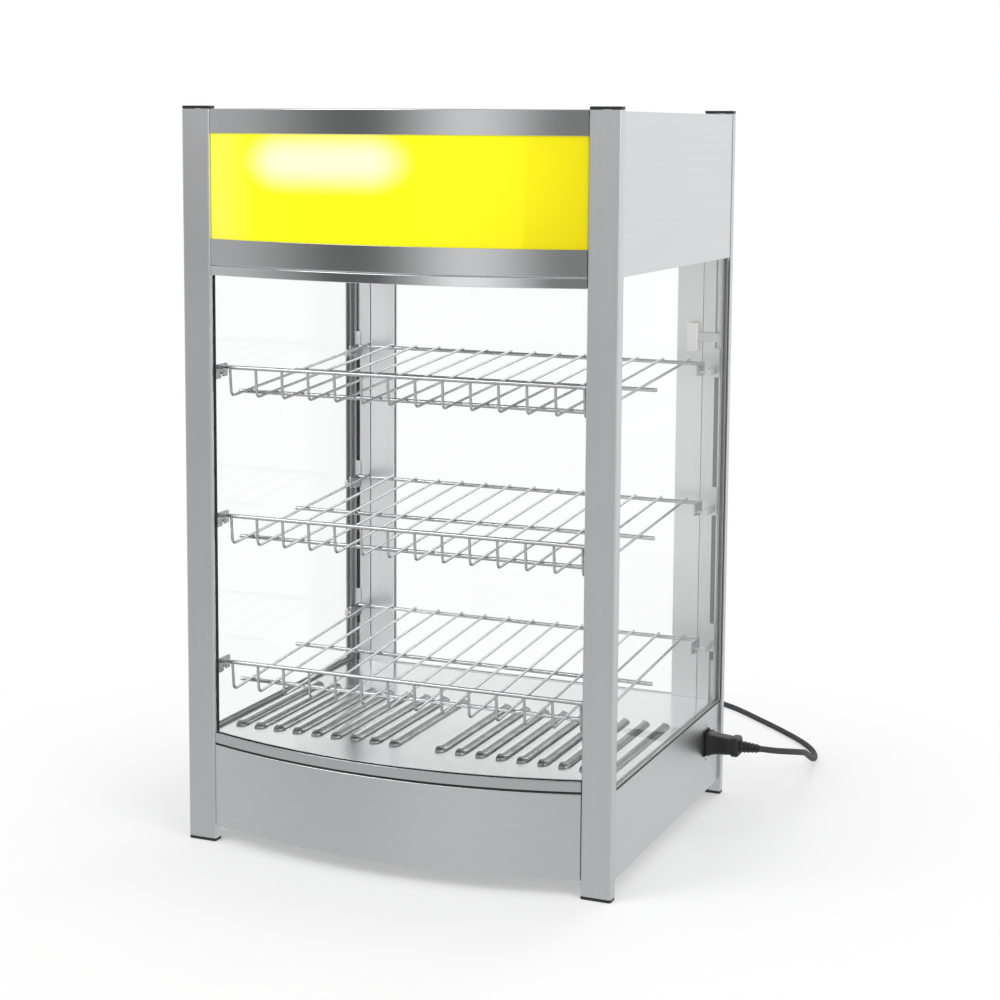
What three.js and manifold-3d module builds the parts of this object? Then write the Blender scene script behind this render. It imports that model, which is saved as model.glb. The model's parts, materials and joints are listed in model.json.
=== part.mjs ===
import * as THREE from "three";
import { mergeVertices } from "three/addons/utils/BufferGeometryUtils.js";
import Module from "manifold-3d";

// Heated display case: four slotted posts, a bow front of glass between a lit header and a
// sheet plinth, side panes in rubber seals, a framed glass door at the back and three hook-on
// wire racks. Lengths in mm, x to the right, y to the back, z up, the front is at -y.

const wasm = await Module();
wasm.setup();

// Overall size.
const caseWidth = 486;
const caseDepth = 390;
const caseHeight = 790;
const frontBulge = 34;
const frontInset = 1;

// Clearances.
const seatGap = 0.3;
const paneGap = 0.5;
const overrun = 1;
const bite = 0.4;
const weldTolerance = 1e-4;
const cornerSteps = 2;

// Corner posts: slotted hollow bars with a plastic cap and foot each.
const postWidth = 33;
const postDepth = 12;
const postWall = 1.4;
const postCorner = 2.5;
const slotMouth = 5;
const slotLip = 1.6;
const slotChamberWidth = 9;
const slotChamberDepth = 2.4;
const capThickness = 3;
const capPegLength = 8;

// Sheet metal and the curved front.
const sheet = 1.2;
const frontFlange = 14;
const frontSteps = 16;
const paneThickness = 5;
const channelWall = 1.5;

// Plinth.
const plinthBottom = 18;
const plinthFrontTop = 108;
const plinthSealThickness = 1.4;
const plinthSealInset = 0.5;
const plinthSealWidth = 8;
const sidePanelInset = 2.8;
const panelFlange = 12;
const lowerChannelHeight = 11;

// Louvred deck.
const deckRise = 3.7;
const deckThickness = 1;
const deckSideInset = 2;
const deckFrontOffset = 9.3;
const deckApron = 25;
const louvreCount = 9;
const louvreSideMargin = 21.45;
const louvreCentreGap = 54;
const louvreWidth = 11.5;
const louvreRise = 4.5;
const louvreShear = 0.5;
const louvreFrontInset = 63;
const louvreBackInset = 131;
const louvreEndSteps = 2;
const louvreSides = 8;

// Header.
const headerDrop = 165.7;
const lowerRailHeight = 27.7;
const upperRailHeight = 25.5;
const upperChannelHeight = 10;
const signLowerTuck = 6;
const signUpperTuck = 5.5;
const signOffset = 1.5;
const signThickness = 3;
const coverInset = 0.5;

// Lamp in the header.
const lampEndGap = 7.2;
const lampInset = 23;
const lampDrop = 58.5;
const lampTubeRadius = 13;
const lampTubeLength = 180;
const lampCapRadius = 11;
const lampCapLength = 7;
const lampHolderThickness = 14;
const lampHolderWidth = 30;
const lampHolderDrop = 18;
const lampBodyHeight = 26;
const lampBodyWidth = 34;

// Side panes and their rubber seals.
const sealThickness = 9.5;
const sealInset = 0.8;
const sealRearWidth = 6;
const sealFrontWidth = 3;
const sealBottomWidth = 2.5;
const sealRearRim = 2;
const sealRim = 1;

// Wire racks.
const rackTilt = THREE.MathUtils.degToRad(4.4);
const lowerRackRise = 50.3;
const rackHeadroom = 142.3;
const rackEndInset = 11.3;
const rackFrontInset = 24;
const rackBackInset = 34;
const wireCount = 14;
const wireRadius = 1.5;
const wireSides = 6;
const wireBend = 6;
const wireBendSteps = 2;
const railRadius = 2.25;
const railSides = 6;
const railOverhang = 15;
const rackLip = 31;
const wireBackOverhang = 3;
const crossBarShares = [0.13, 0.515];

// Hook plates and the hangers in the post slots.
const hookThickness = 2;
const hookFront = 6.5;
const hookBack = 21;
const hookDrop = 13.5;
const hookShortDrop = 12;
const hookNotchInset = 10;
const hookNotchWidth = 4.5;
const hookNotchTop = 6.4;
const hookCorner = 2;
const pinRadius = 1.5;
const pinSides = 8;
const bossSides = 8;
const pinOverhang = 2.5;
const hangerWidth = 8;
const hangerThickness = 1.4;
const hangerArmWidth = 4;
const hangerArmHeight = 8;
const hangerEnd = 20;

// Rear door.
const doorClearance = 1;
const doorThickness = 11.7;
const doorStile = 30;
const doorBottomRail = 22;
const doorTopRail = 24;
const doorWall = 1.4;
const doorPaneThickness = 4;
const doorGroove = 4;
const hingeStandoff = 5.5;
const hingeInset = 80;
const hingeHeight = 50;
const hingePlateThickness = 2;
const hingePlateWidth = 24;
const hingePlateReach = 4;
const knuckleRadius = 4.5;
const hingePinRadius = 2.5;
const hingeSides = 16;
const handleReach = 33;
const handleInset = 15;
const handleLength = 110;
const handleRadius = 5;
const handleBend = 12;
const handleBendSteps = 3;
const handleSides = 10;
const handleFootRadius = 7.5;
const handleFootHeight = 2;
const catchDrop = 99;
const catchHeight = 33;
const catchInset = 16;
const catchWidth = 12;
const catchDepth = 7.6;
const catchArmThickness = 1.5;
const catchArmHeight = 10;
const catchFootWidth = 20;
const strikeWidth = 10;
const strikeMargin = 1;
const strikeThickness = 1.5;

// Controls and heating in the plinth.
const backPanelDrop = 20;
const controlZ = 53;
const thermostatX = 110;
const thermostatSize = 38;
const thermostatDepth = 28;
const thermostatCorner = 4;
const shaftRadius = 3;
const shaftLength = 12;
const shaftGap = 0.5;
const knobRadius = 18;
const knobHeight = 18;
const knobSkirt = 3;
const knobGripRadius = 14;
const knobStandoff = 1;
const knobChamfer = 1;
const knobSides = 24;
const capillaryRadius = 1.2;
const capillaryBend = 6;
const bulbRadius = 3;
const bulbLength = 70;
const bulbZ = 98;
const switchX = 40;
const bezelWidth = 25;
const bezelHeight = 31;
const bezelThickness = 2;
const switchBodyWidth = 22;
const switchBodyHeight = 28;
const switchDepth = 24;
const rockerWidth = 18;
const rockerPivotDepth = 7.3;
const rockerTilt = THREE.MathUtils.degToRad(8);
const pocketHalfHeight = 12.4;
const pocketFloor = 5;
const elementRadius = 4;
const elementZ = 62;
const elementSides = 8;
const elementBend = 25;
const elementBendSteps = 4;
const elementLegCount = 4;
const elementPitch = 100;
const elementFrontInset = 65;
const elementTurnInset = 75;
const elementEndInset = 45;
const saddleWidth = 16;
const saddleThickness = 4;

// Mains inlet on the right side panel.
const inletInset = 63;
const inletZ = 76;
const inletFlange = 2.5;
const inletFlangeWidth = 24;
const inletFlangeCorner = 1;
const inletBodyHeight = 31;
const inletEarHeight = 48;
const inletEarWidth = 10;
const inletScrewSpacing = 40;
const inletScrewRadius = 1.7;
const inletShellWidth = 20;
const inletShellHeight = 27.5;
const inletShellDepth = 22;
const inletCavityWidth = 16.5;
const inletCavityHeight = 24;
const inletCavityDepth = 18;
const inletCavityCorner = 4;
const inletPinThickness = 2;
const inletPinWidth = 4;
const inletPinLength = 14;
const inletPinSpread = 7;
const inletPinRaise = 2;

// Cord set: connector, free cord, coil, tie and mains plug.
const cordRadius = 3.5;
const cordSides = 8;
const connectorWidth = 22;
const connectorHeight = 27;
const connectorCorner = 4;
const connectorLength = 37.7;
const noseLength = 16;
const reliefLength = 22.3;
const reliefRibs = 5;
const reliefRootRadius = 7;
const reliefTipRadius = 5;
const reliefGroove = 1;
const reliefSides = 10;
const coilCentre = [8, 300];
const coilOuterRadius = 46;
const coilRadialPitch = 7.6;
const coilLayerPitch = 7.5;
const coilBottomZ = 5.1;
const coilTurns = 4.5;
const climbTurns = 0.5;
const coilSteps = 24;
const coilSides = 6;
const coilLead = 8;
const coilTail = 30;
const tieWall = 1;
const tieWidth = 6;
const tieClearance = 0.5;
const tieHead = 4;
const plugWidth = 50;
const plugLength = 46;
const plugTaper = 7;
const plugCorner = 6;
const plugStep = 1;
const plugReliefLength = 25;
const plugPinX = 11.1;
const plugPinY = 16;
const plugEarthPitch = 22.2;
const linePin = [6.3, 4, 17.7];
const earthPin = [4, 8, 22.7];

// The cord's free run from the connector to the coil: points on its centreline.
const cordRoute = [
  [303.6, 132, 76],
  [312, 132, 76],
  [321, 133.5, 75.6],
  [330, 138.5, 74.6],
  [337, 146.5, 72.8],
  [341, 157, 70],
  [342, 169, 66.5],
  [341, 184, 62],
  [338.5, 203, 55.7],
  [334.5, 226, 47.5],
  [330, 252, 38],
  [325.5, 280, 27.5],
  [321, 308, 17.5],
  [317, 334, 9.5],
  [312, 358, 5],
  [304, 380, 3.8],
  [292, 400, 3.8],
  [275, 421, 3.8],
  [252, 445, 3.8],
  [227, 469, 3.8],
  [203, 491, 3.8],
  [179, 513, 3.8],
  [157, 531, 3.8],
  [135, 544, 3.8],
  [112, 549, 3.8],
  [90, 545, 3.8],
  [72, 532, 3.8],
  [60, 512, 3.8],
  [54.5, 486, 3.8],
  [54, 456, 3.8],
  [54, 420, 4],
  [54, 384, 4.4],
  [54, 348, 4.9],
  [54, 318, 5.1],
  [54, 308.3, 5.1],
];

// Derived sizes.
const halfWidth = caseWidth / 2;
const halfDepth = caseDepth / 2;
const postInnerX = halfWidth - postWidth;
const postInnerY = halfDepth - postDepth;
const postCentreX = halfWidth - postWidth / 2;
const bayHalf = postInnerX - seatGap;
const bayDepth = postInnerY - seatGap;
const frontEndY = -halfDepth + frontInset;
const frontRadius = (bayHalf ** 2 + frontBulge ** 2) / (2 * frontBulge);
const frontCentreY = frontEndY - frontBulge + frontRadius;
const channelInner = channelWall + paneGap + paneThickness + paneGap;
const sidePanelOuter = halfWidth - sidePanelInset;

// Heights, from the floor up to the plinth and from the top down to the header.
const plinthSealBottom = plinthFrontTop + seatGap;
const plinthSealTop = plinthSealBottom + plinthSealThickness;
const lowerChannelBottom = plinthSealTop + seatGap;
const lowerChannelTop = lowerChannelBottom + lowerChannelHeight;
const deckTop = plinthFrontTop + deckRise;
const deckBottom = deckTop - deckThickness;
const backPanelTop = plinthFrontTop - backPanelDrop;
const upperRailTop = caseHeight - capThickness;
const upperRailBottom = upperRailTop - upperRailHeight;
const headerFlangeBottom = caseHeight - headerDrop;
const lowerRailTop = headerFlangeBottom + lowerRailHeight;
const signBottom = lowerRailTop - signLowerTuck;
const signTop = upperRailBottom + signUpperTuck;
const upperChannelTop = headerFlangeBottom - seatGap;
const upperChannelBottom = upperChannelTop - upperChannelHeight;
const coverTop = upperRailTop - sheet - seatGap;
const coverBackBottom = lowerRailTop;
const sealBottom = deckTop + seatGap;
const sealTop = headerFlangeBottom + sheet;

// Lamp, racks and louvres.
const lampReach = lampTubeLength / 2 + lampCapLength - paneGap + lampHolderThickness;
const lampCentreX = lampReach + lampEndGap - bayHalf;
const lampCentreY = lampInset - halfDepth;
const lampCentreZ = coverTop - lampDrop;
const frontRailY = rackFrontInset - halfDepth;
const backRailY = halfDepth - rackBackInset;
const rackHalf = postCentreX - rackEndInset;
const wirePitch = (2 * (rackHalf - railOverhang)) / (wireCount - 1);
const lowerRackPlane = deckTop + lowerRackRise;
const rackPitch = (headerFlangeBottom - rackHeadroom - lowerRackPlane) / 2;
const rackPlanes = {
  upper_rack: lowerRackPlane + 2 * rackPitch,
  middle_rack: lowerRackPlane + rackPitch,
  lower_rack: lowerRackPlane,
};
const louvreFront = louvreFrontInset - halfDepth;
const louvreBack = halfDepth - louvreBackInset;
const louvreRun = halfWidth - deckSideInset - louvreSideMargin - (louvreCentreGap + louvreWidth) / 2;
const louvrePitch = louvreRun / (louvreCount - 1);

// Door, heating element and inlet.
const doorBottom = backPanelTop + 2 * doorClearance;
const doorTop = coverBackBottom - 2 * doorClearance;
const doorHalf = postInnerX - doorClearance;
const hingeAxisX = -postInnerX;
const hingeAxisY = halfDepth + hingeStandoff;
const hingeLows = { upper: doorTop - hingeInset - hingeHeight, lower: doorBottom + hingeInset };
const handleX = doorHalf - handleInset;
const handleBottom = (doorBottom + doorTop - handleLength) / 2;
const catchTop = doorTop - catchDrop;
const catchBottom = catchTop - catchHeight;
const catchLeft = doorHalf - catchInset;
const catchArmReach = halfWidth - sealInset - sealThickness - seatGap;
const elementLegs = Array.from(
  { length: elementLegCount },
  (_, index) => elementPitch * (index - (elementLegCount - 1) / 2),
);
const elementFront = elementFrontInset - halfDepth;
const elementTurnBack = halfDepth - elementTurnInset;
const elementEnd = halfDepth - elementEndInset;
const inletY = halfDepth - inletInset;
const doorOuterY = halfDepth;
const doorInnerY = doorOuterY - doorThickness;
const rackRise = Math.tan(rackTilt);
const rackFootY = frontRailY + rackLip * Math.sin(rackTilt);
const plugAxisZ = coilBottomZ + coilLayerPitch;

// The cord set keeps its form and goes with the inlet.
const cordExitX = halfWidth + seatGap + connectorLength + reliefLength + seatGap;
const cordShiftX = cordExitX - cordRoute[0][0];
const cordShiftY = inletY - cordRoute[0][1];
const cordPath = cordRoute.map(([x, y, z]) => [x + cordShiftX, y + cordShiftY, z]);
const coilPlace = [coilCentre[0] + cordShiftX, coilCentre[1] + cordShiftY];
const frontReach = frontBulge - frontInset;
const rearReach = handleReach;

// Solids from three.js geometry and back.

function toSolid(geometry) {
  const bare = geometry.clone();
  bare.deleteAttribute("normal");
  bare.deleteAttribute("uv");
  const merged = mergeVertices(bare, weldTolerance);
  return new wasm.Manifold(
    new wasm.Mesh({
      numProp: 3,
      vertProperties: merged.attributes.position.array,
      triVerts: new Uint32Array(merged.index.array),
    }),
  );
}

function toGeometry(solid) {
  const mesh = solid.getMesh();
  const geometry = new THREE.BufferGeometry();
  geometry.setAttribute("position", new THREE.BufferAttribute(mesh.vertProperties, mesh.numProp));
  geometry.setIndex(new THREE.BufferAttribute(mesh.triVerts, 1));
  const flat = geometry.toNonIndexed();
  flat.computeVertexNormals();
  return flat;
}

const join = (...solids) => solids.reduce((sum, solid) => sum.add(solid));
const cut = (solid, ...tools) => tools.reduce((rest, tool) => rest.subtract(tool), solid);

// Outlines in a plane.

function rectangle(left, right, low, high) {
  return [[left, low], [right, low], [right, high], [left, high]];
}

function circle(centreU, centreV, radius, sides) {
  return Array.from({ length: sides }, (_, index) => {
    const angle = (2 * Math.PI * index) / sides;
    return [centreU + radius * Math.cos(angle), centreV + radius * Math.sin(angle)];
  });
}

// Replaces each corner whose radius isn't zero by an arc of cornerSteps chords.

function rounded(points, radii) {
  return points.flatMap((point, index) => {
    const radius = Array.isArray(radii) ? radii[index] : radii;
    if (!radius) return [point];
    const corner = new THREE.Vector2(...point);
    const before = new THREE.Vector2(...points.at(index - 1)).sub(corner).normalize();
    const after = new THREE.Vector2(...points[(index + 1) % points.length]).sub(corner).normalize();
    const halfAngle = Math.acos(THREE.MathUtils.clamp(before.dot(after), -1, 1)) / 2;
    const reach = radius / Math.tan(halfAngle);
    const start = corner.clone().addScaledVector(before, reach);
    const end = corner.clone().addScaledVector(after, reach);
    const middle = before.clone().add(after).normalize();
    const centre = corner.clone().addScaledVector(middle, radius / Math.sin(halfAngle));
    const first = start.clone().sub(centre).angle();
    let sweep = end.clone().sub(centre).angle() - first;
    if (sweep > Math.PI) sweep -= 2 * Math.PI;
    if (sweep < -Math.PI) sweep += 2 * Math.PI;
    return Array.from({ length: cornerSteps + 1 }, (_, step) => {
      const angle = first + (sweep * step) / cornerSteps;
      return [centre.x + radius * Math.cos(angle), centre.y + radius * Math.sin(angle)];
    });
  });
}

// Extrusions along x (outline in y and z), y (outline in x and z) or z (outline in x and y).

const unitX = new THREE.Vector3(1, 0, 0);
const unitY = new THREE.Vector3(0, 1, 0);
const unitZ = new THREE.Vector3(0, 0, 1);

function turnedVectors(points, clockwise) {
  const vectors = points.map(([u, v]) => new THREE.Vector2(u, v));
  return THREE.ShapeUtils.isClockWise(vectors) === clockwise ? vectors : vectors.reverse();
}

function extrude(axis, outline, from, to, holes = []) {
  const low = Math.min(from, to);
  const high = Math.max(from, to);
  const shape = new THREE.Shape(turnedVectors(outline, false));
  shape.holes = holes.map((hole) => new THREE.Path(turnedVectors(hole, true)));
  const geometry = new THREE.ExtrudeGeometry(shape, { depth: high - low, bevelEnabled: false });
  const placed = new THREE.Matrix4();
  if (axis === "x") placed.makeBasis(unitY, unitZ, unitX).setPosition(low, 0, 0);
  if (axis === "y") placed.makeBasis(unitX, unitZ, unitY.clone().negate()).setPosition(0, high, 0);
  if (axis === "z") placed.setPosition(0, 0, low);
  return toSolid(geometry.applyMatrix4(placed));
}

const block = (left, right, front, back, low, high) =>
  extrude("z", rectangle(Math.min(left, right), Math.max(left, right), front, back), low, high);

const rod = (axis, centre, radius, from, to, sides) =>
  extrude(axis, circle(...centre, radius, sides), from, to);

// A tube through given stations, mitred at each of them.

class StationCurve extends THREE.Curve {
  constructor(stations) {
    super();
    this.stations = stations.map((station) => new THREE.Vector3(...station));
    this.last = stations.length - 1;
  }

  getPoint(share, target = new THREE.Vector3()) {
    return target.copy(this.stations[Math.round(share * this.last)]);
  }

  getPointAt(share, target) {
    return this.getPoint(share, target);
  }

  getTangentAt(share, target = new THREE.Vector3()) {
    const index = Math.round(share * this.last);
    const here = this.stations[index];
    const before = this.stations[Math.max(index - 1, 0)];
    const after = this.stations[Math.min(index + 1, this.last)];
    const arriving = here.clone().sub(before).normalize();
    const leaving = after.clone().sub(here).normalize();
    return target.copy(arriving).add(leaving).normalize();
  }
}

function tube(stations, radius, sides) {
  const section = new THREE.Shape(circle(0, 0, radius, sides).map(([u, v]) => new THREE.Vector2(u, v)));
  return toSolid(
    new THREE.ExtrudeGeometry(section, {
      extrudePath: new StationCurve(stations),
      steps: stations.length - 1,
      bevelEnabled: false,
    }),
  );
}

// Stations along a polyline whose inner corners are bent to a radius.
function bentPath(points, bend, steps) {
  const corners = points.map((point) => new THREE.Vector3(...point));
  return corners.flatMap((corner, index) => {
    if (index === 0 || index === corners.length - 1) return [corner.toArray()];
    const before = corners[index - 1].clone().sub(corner).normalize();
    const after = corners[index + 1].clone().sub(corner).normalize();
    const halfAngle = before.angleTo(after) / 2;
    const reach = bend / Math.tan(halfAngle);
    const centre = before.clone().add(after).normalize().multiplyScalar(bend / Math.sin(halfAngle));
    centre.add(corner);
    const start = corner.clone().addScaledVector(before, reach).sub(centre);
    const end = corner.clone().addScaledVector(after, reach).sub(centre);
    const axis = start.clone().cross(end).normalize();
    const sweep = start.angleTo(end);
    return Array.from({ length: steps + 1 }, (_, step) =>
      start.clone().applyAxisAngle(axis, (sweep * step) / steps).add(centre).toArray(),
    );
  });
}

// A turned piece: profile points are (radius, height) along the given axis, from a base point.
function turned(profile, axis, base, sides) {
  const points = profile.map(([radius, height]) => new THREE.Vector2(radius, height));
  const geometry = new THREE.LatheGeometry(points, sides);
  const turn = new THREE.Quaternion().setFromUnitVectors(unitY, axis);
  geometry.applyQuaternion(turn).translate(...base);
  return toSolid(geometry);
}

// The curved front: y on the arc a given distance inwards of the front surface.
function frontY(x, offset) {
  return frontCentreY - Math.sqrt((frontRadius - offset) ** 2 - x ** 2);
}

function frontEdge(offset, half) {
  return Array.from({ length: frontSteps + 1 }, (_, index) => {
    const x = half * ((2 * index) / frontSteps - 1);
    return [x, frontY(x, offset)];
  });
}

function frontBand(outer, inner, low, high, half = bayHalf) {
  const outline = [...frontEdge(outer, half), ...frontEdge(inner, half).reverse()];
  return extrude("z", outline, low, high);
}

// A level plate that fills the case between the posts, with a curved front edge.
function casePlate(offset, sideX, backY, low, high) {
  const outline = [
    ...frontEdge(offset, bayHalf),
    [bayHalf, -bayDepth],
    [sideX, -bayDepth],
    [sideX, Math.min(bayDepth, backY)],
    [-sideX, Math.min(bayDepth, backY)],
    [-sideX, -bayDepth],
    [-bayHalf, -bayDepth],
  ];
  if (backY <= bayDepth) return extrude("z", outline, low, high);
  const backStrip = block(-bayHalf, bayHalf, bayDepth - overrun, backY, low, high);
  return join(extrude("z", outline, low, high), backStrip);
}

// Posts. Points run from the outer side (0) inwards and from the outer face (0) to the slot.

function postPlace(sideX, sideY) {
  return ([across, deep]) => [sideX * (halfWidth - across), sideY * (halfDepth - deep)];
}

function postOutline(withSlot) {
  const slotMiddle = postWidth / 2;
  const mouthLow = slotMiddle - slotMouth / 2;
  const mouthHigh = slotMiddle + slotMouth / 2;
  const chamberLow = slotMiddle - slotChamberWidth / 2;
  const chamberHigh = slotMiddle + slotChamberWidth / 2;
  const chamberTop = postDepth - slotLip;
  const chamberFloor = chamberTop - slotChamberDepth;
  const slot = [
    [mouthHigh, postDepth],
    [mouthHigh, chamberTop],
    [chamberHigh, chamberTop],
    [chamberHigh, chamberFloor],
    [chamberLow, chamberFloor],
    [chamberLow, chamberTop],
    [mouthLow, chamberTop],
    [mouthLow, postDepth],
  ];
  const points = [
    [0, 0],
    [postWidth, 0],
    [postWidth, postDepth],
    ...(withSlot ? slot : []),
    [0, postDepth],
  ];
  return rounded(points, points.map((_, index) => (index < 2 ? postCorner : 0)));
}

function postHollow() {
  const slotMiddle = postWidth / 2;
  const ridgeLow = slotMiddle - slotChamberWidth / 2 - postWall;
  const ridgeHigh = slotMiddle + slotChamberWidth / 2 + postWall;
  const ridge = postDepth - slotLip - slotChamberDepth - postWall;
  const far = postDepth - postWall;
  return [
    [postWall, postWall],
    [postWidth - postWall, postWall],
    [postWidth - postWall, far],
    [ridgeHigh, far],
    [ridgeHigh, ridge],
    [ridgeLow, ridge],
    [ridgeLow, far],
    [postWall, far],
  ];
}

function post(sideX, sideY) {
  const place = postPlace(sideX, sideY);
  const low = capThickness + seatGap;
  const high = caseHeight - capThickness - seatGap;
  return extrude("z", postOutline(true).map(place), low, high, [postHollow().map(place)]);
}

// A cap or foot: a plate over the post's end with two pegs in its hollow.
function postEnd(sideX, sideY, plateLow, plateHigh, pegLow, pegHigh) {
  const place = postPlace(sideX, sideY);
  const legEnd = postWidth / 2 - slotChamberWidth / 2 - postWall;
  const near = postWall + seatGap;
  const peg = rectangle(near, legEnd - seatGap, near, postDepth - near);
  const farPeg = peg.map(([across, deep]) => [postWidth - across, deep]);
  return join(
    extrude("z", postOutline(false).map(place), plateLow, plateHigh),
    extrude("z", peg.map(place), pegLow, pegHigh),
    extrude("z", farPeg.map(place), pegLow, pegHigh),
  );
}

function postCap(sideX, sideY) {
  const low = caseHeight - capThickness;
  return postEnd(sideX, sideY, low, caseHeight, low - capPegLength, low + bite);
}

function postFoot(sideX, sideY) {
  return postEnd(sideX, sideY, 0, capThickness, capThickness - bite, capThickness + capPegLength);
}

// Header and front.

function headerUpperRail() {
  return join(
    frontBand(0, sheet, upperRailBottom, upperRailTop),
    frontBand(0, frontFlange, upperRailTop - sheet, upperRailTop),
  );
}

function headerLowerRail() {
  return join(
    frontBand(0, sheet, headerFlangeBottom, lowerRailTop),
    frontBand(0, frontFlange, headerFlangeBottom, headerFlangeBottom + sheet),
  );
}

function glassChannel(low, high, webLow) {
  return join(
    frontBand(0, channelWall, low, high),
    frontBand(channelInner, channelInner + channelWall, low, high),
    frontBand(0, channelInner + channelWall, webLow, webLow + channelWall),
  );
}

const upperGlassChannel = () =>
  glassChannel(upperChannelBottom, upperChannelTop, upperChannelTop - channelWall);

const lowerGlassChannel = () =>
  glassChannel(lowerChannelBottom, lowerChannelTop, lowerChannelBottom);

const signPanel = () => frontBand(signOffset, signOffset + signThickness, signBottom, signTop);

function frontGlass() {
  const near = channelWall + paneGap;
  const low = lowerChannelBottom + channelWall + seatGap;
  const high = upperChannelTop - channelWall - seatGap;
  return frontBand(near, near + paneThickness, low, high);
}

const floorBottom = headerFlangeBottom + sheet + seatGap;

function headerCover() {
  const outerX = halfWidth - coverInset;
  const coverLow = coverTop - sheet;
  const top = casePlate(signOffset, outerX, halfDepth, coverLow, coverTop);
  const walls = [-1, 1].map((side) =>
    block(side * outerX, side * (outerX - sheet), -bayDepth, bayDepth, floorBottom, coverTop),
  );
  const back = block(-bayHalf, bayHalf, halfDepth - sheet, halfDepth, coverBackBottom, coverTop);
  const sill = block(
    -bayHalf, bayHalf, bayDepth - sheet, halfDepth, coverBackBottom, coverBackBottom + sheet,
  );
  return join(top, ...walls, back, sill);
}

function headerFloor() {
  const sideX = halfWidth - coverInset - sheet - seatGap;
  const upstandTop = coverBackBottom - seatGap;
  return join(
    casePlate(signOffset + seatGap, sideX, bayDepth, floorBottom, floorBottom + sheet),
    block(-bayHalf, bayHalf, bayDepth - sheet, bayDepth, floorBottom, upstandTop),
  );
}

function lampBatten() {
  const top = coverTop - sheet - seatGap;
  const low = top - lampBodyHeight;
  const reach = lampReach;
  const holderGap = reach - lampHolderThickness;
  const body = block(
    lampCentreX - reach, lampCentreX + reach,
    lampCentreY - lampBodyWidth / 2, lampCentreY + lampBodyWidth / 2,
    low, top,
  );
  const holders = [-1, 1].map((side) =>
    block(
      lampCentreX + side * holderGap, lampCentreX + side * reach,
      lampCentreY - lampHolderWidth / 2, lampCentreY + lampHolderWidth / 2,
      lampCentreZ - lampHolderDrop, low + bite,
    ),
  );
  const sockets = rod(
    "x", [lampCentreY, lampCentreZ], lampCapRadius + seatGap,
    lampCentreX - holderGap - lampCapLength, lampCentreX + holderGap + lampCapLength, hingeSides,
  );
  return cut(join(body, ...holders), sockets);
}

function lampTube() {
  const half = lampTubeLength / 2;
  const capEnd = half + lampCapLength;
  const profile = [
    [0, -capEnd],
    [lampCapRadius, -capEnd],
    [lampCapRadius, -half],
    [lampTubeRadius, -half],
    [lampTubeRadius, half],
    [lampCapRadius, half],
    [lampCapRadius, capEnd],
    [0, capEnd],
  ];
  return turned(profile, unitX, [lampCentreX, lampCentreY, lampCentreZ], hingeSides);
}

// Side panes: a rubber seal with a groove along the front, the bottom and the back, and the pane
// let down into it from the top.

const sealOuterX = halfWidth - sealInset;
const grooveInset = (sealThickness - paneThickness) / 2 - seatGap;

function sideSeal(side) {
  const front = -bayDepth + sealFrontWidth;
  const back = bayDepth - sealRearWidth;
  const low = sealBottom + sealBottomWidth;
  const outline = [
    [-bayDepth, sealBottom], [bayDepth, sealBottom], [bayDepth, sealTop], [back, sealTop],
    [back, low], [front, low], [front, sealTop], [-bayDepth, sealTop],
  ];
  const groove = block(
    side * (sealOuterX - grooveInset), side * (sealOuterX - sealThickness + grooveInset),
    -bayDepth + sealRim, bayDepth - sealRearRim,
    sealBottom + sealRim, sealTop + overrun,
  );
  return cut(extrude("x", outline, side * (sealOuterX - sealThickness), side * sealOuterX), groove);
}

function sideGlass(side) {
  const outer = sealOuterX - grooveInset - seatGap;
  return block(
    side * outer, side * (outer - paneThickness),
    -bayDepth + sealRim + seatGap, bayDepth - sealRearRim - seatGap,
    sealBottom + sealRim + seatGap, sealTop,
  );
}

// Plinth.

const plinthSeal = () =>
  frontBand(plinthSealInset, plinthSealInset + plinthSealWidth, plinthSealBottom, plinthSealTop);

function plinthFront() {
  return join(
    frontBand(0, sheet, plinthBottom, plinthFrontTop),
    frontBand(0, frontFlange, plinthFrontTop - sheet, plinthFrontTop),
    frontBand(0, frontFlange, plinthBottom, plinthBottom + sheet),
  );
}

const sidePanelTop = deckBottom - seatGap;

function plinthSidePanel(side) {
  const outer = side * sidePanelOuter;
  const inner = side * (sidePanelOuter - sheet);
  const lip = side * (sidePanelOuter - panelFlange);
  const panel = join(
    block(outer, inner, -bayDepth, bayDepth, plinthBottom, sidePanelTop),
    block(outer, lip, -bayDepth, bayDepth, sidePanelTop - sheet, sidePanelTop),
    block(outer, lip, -bayDepth, bayDepth, plinthBottom, plinthBottom + sheet),
  );
  return side > 0 ? cut(panel, inletCutOut()) : panel;
}

function inletCutOut() {
  const halfW = inletShellWidth / 2 + seatGap;
  const halfH = inletShellHeight / 2 + seatGap;
  const outer = sidePanelOuter + overrun;
  const inner = sidePanelOuter - sheet - overrun;
  const screws = [-1, 1].map((end) =>
    rod("x", [inletY, inletZ + (end * inletScrewSpacing) / 2], inletScrewRadius, inner, outer, pinSides),
  );
  return join(
    block(inner, outer, inletY - halfW, inletY + halfW, inletZ - halfH, inletZ + halfH),
    ...screws,
  );
}

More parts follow.
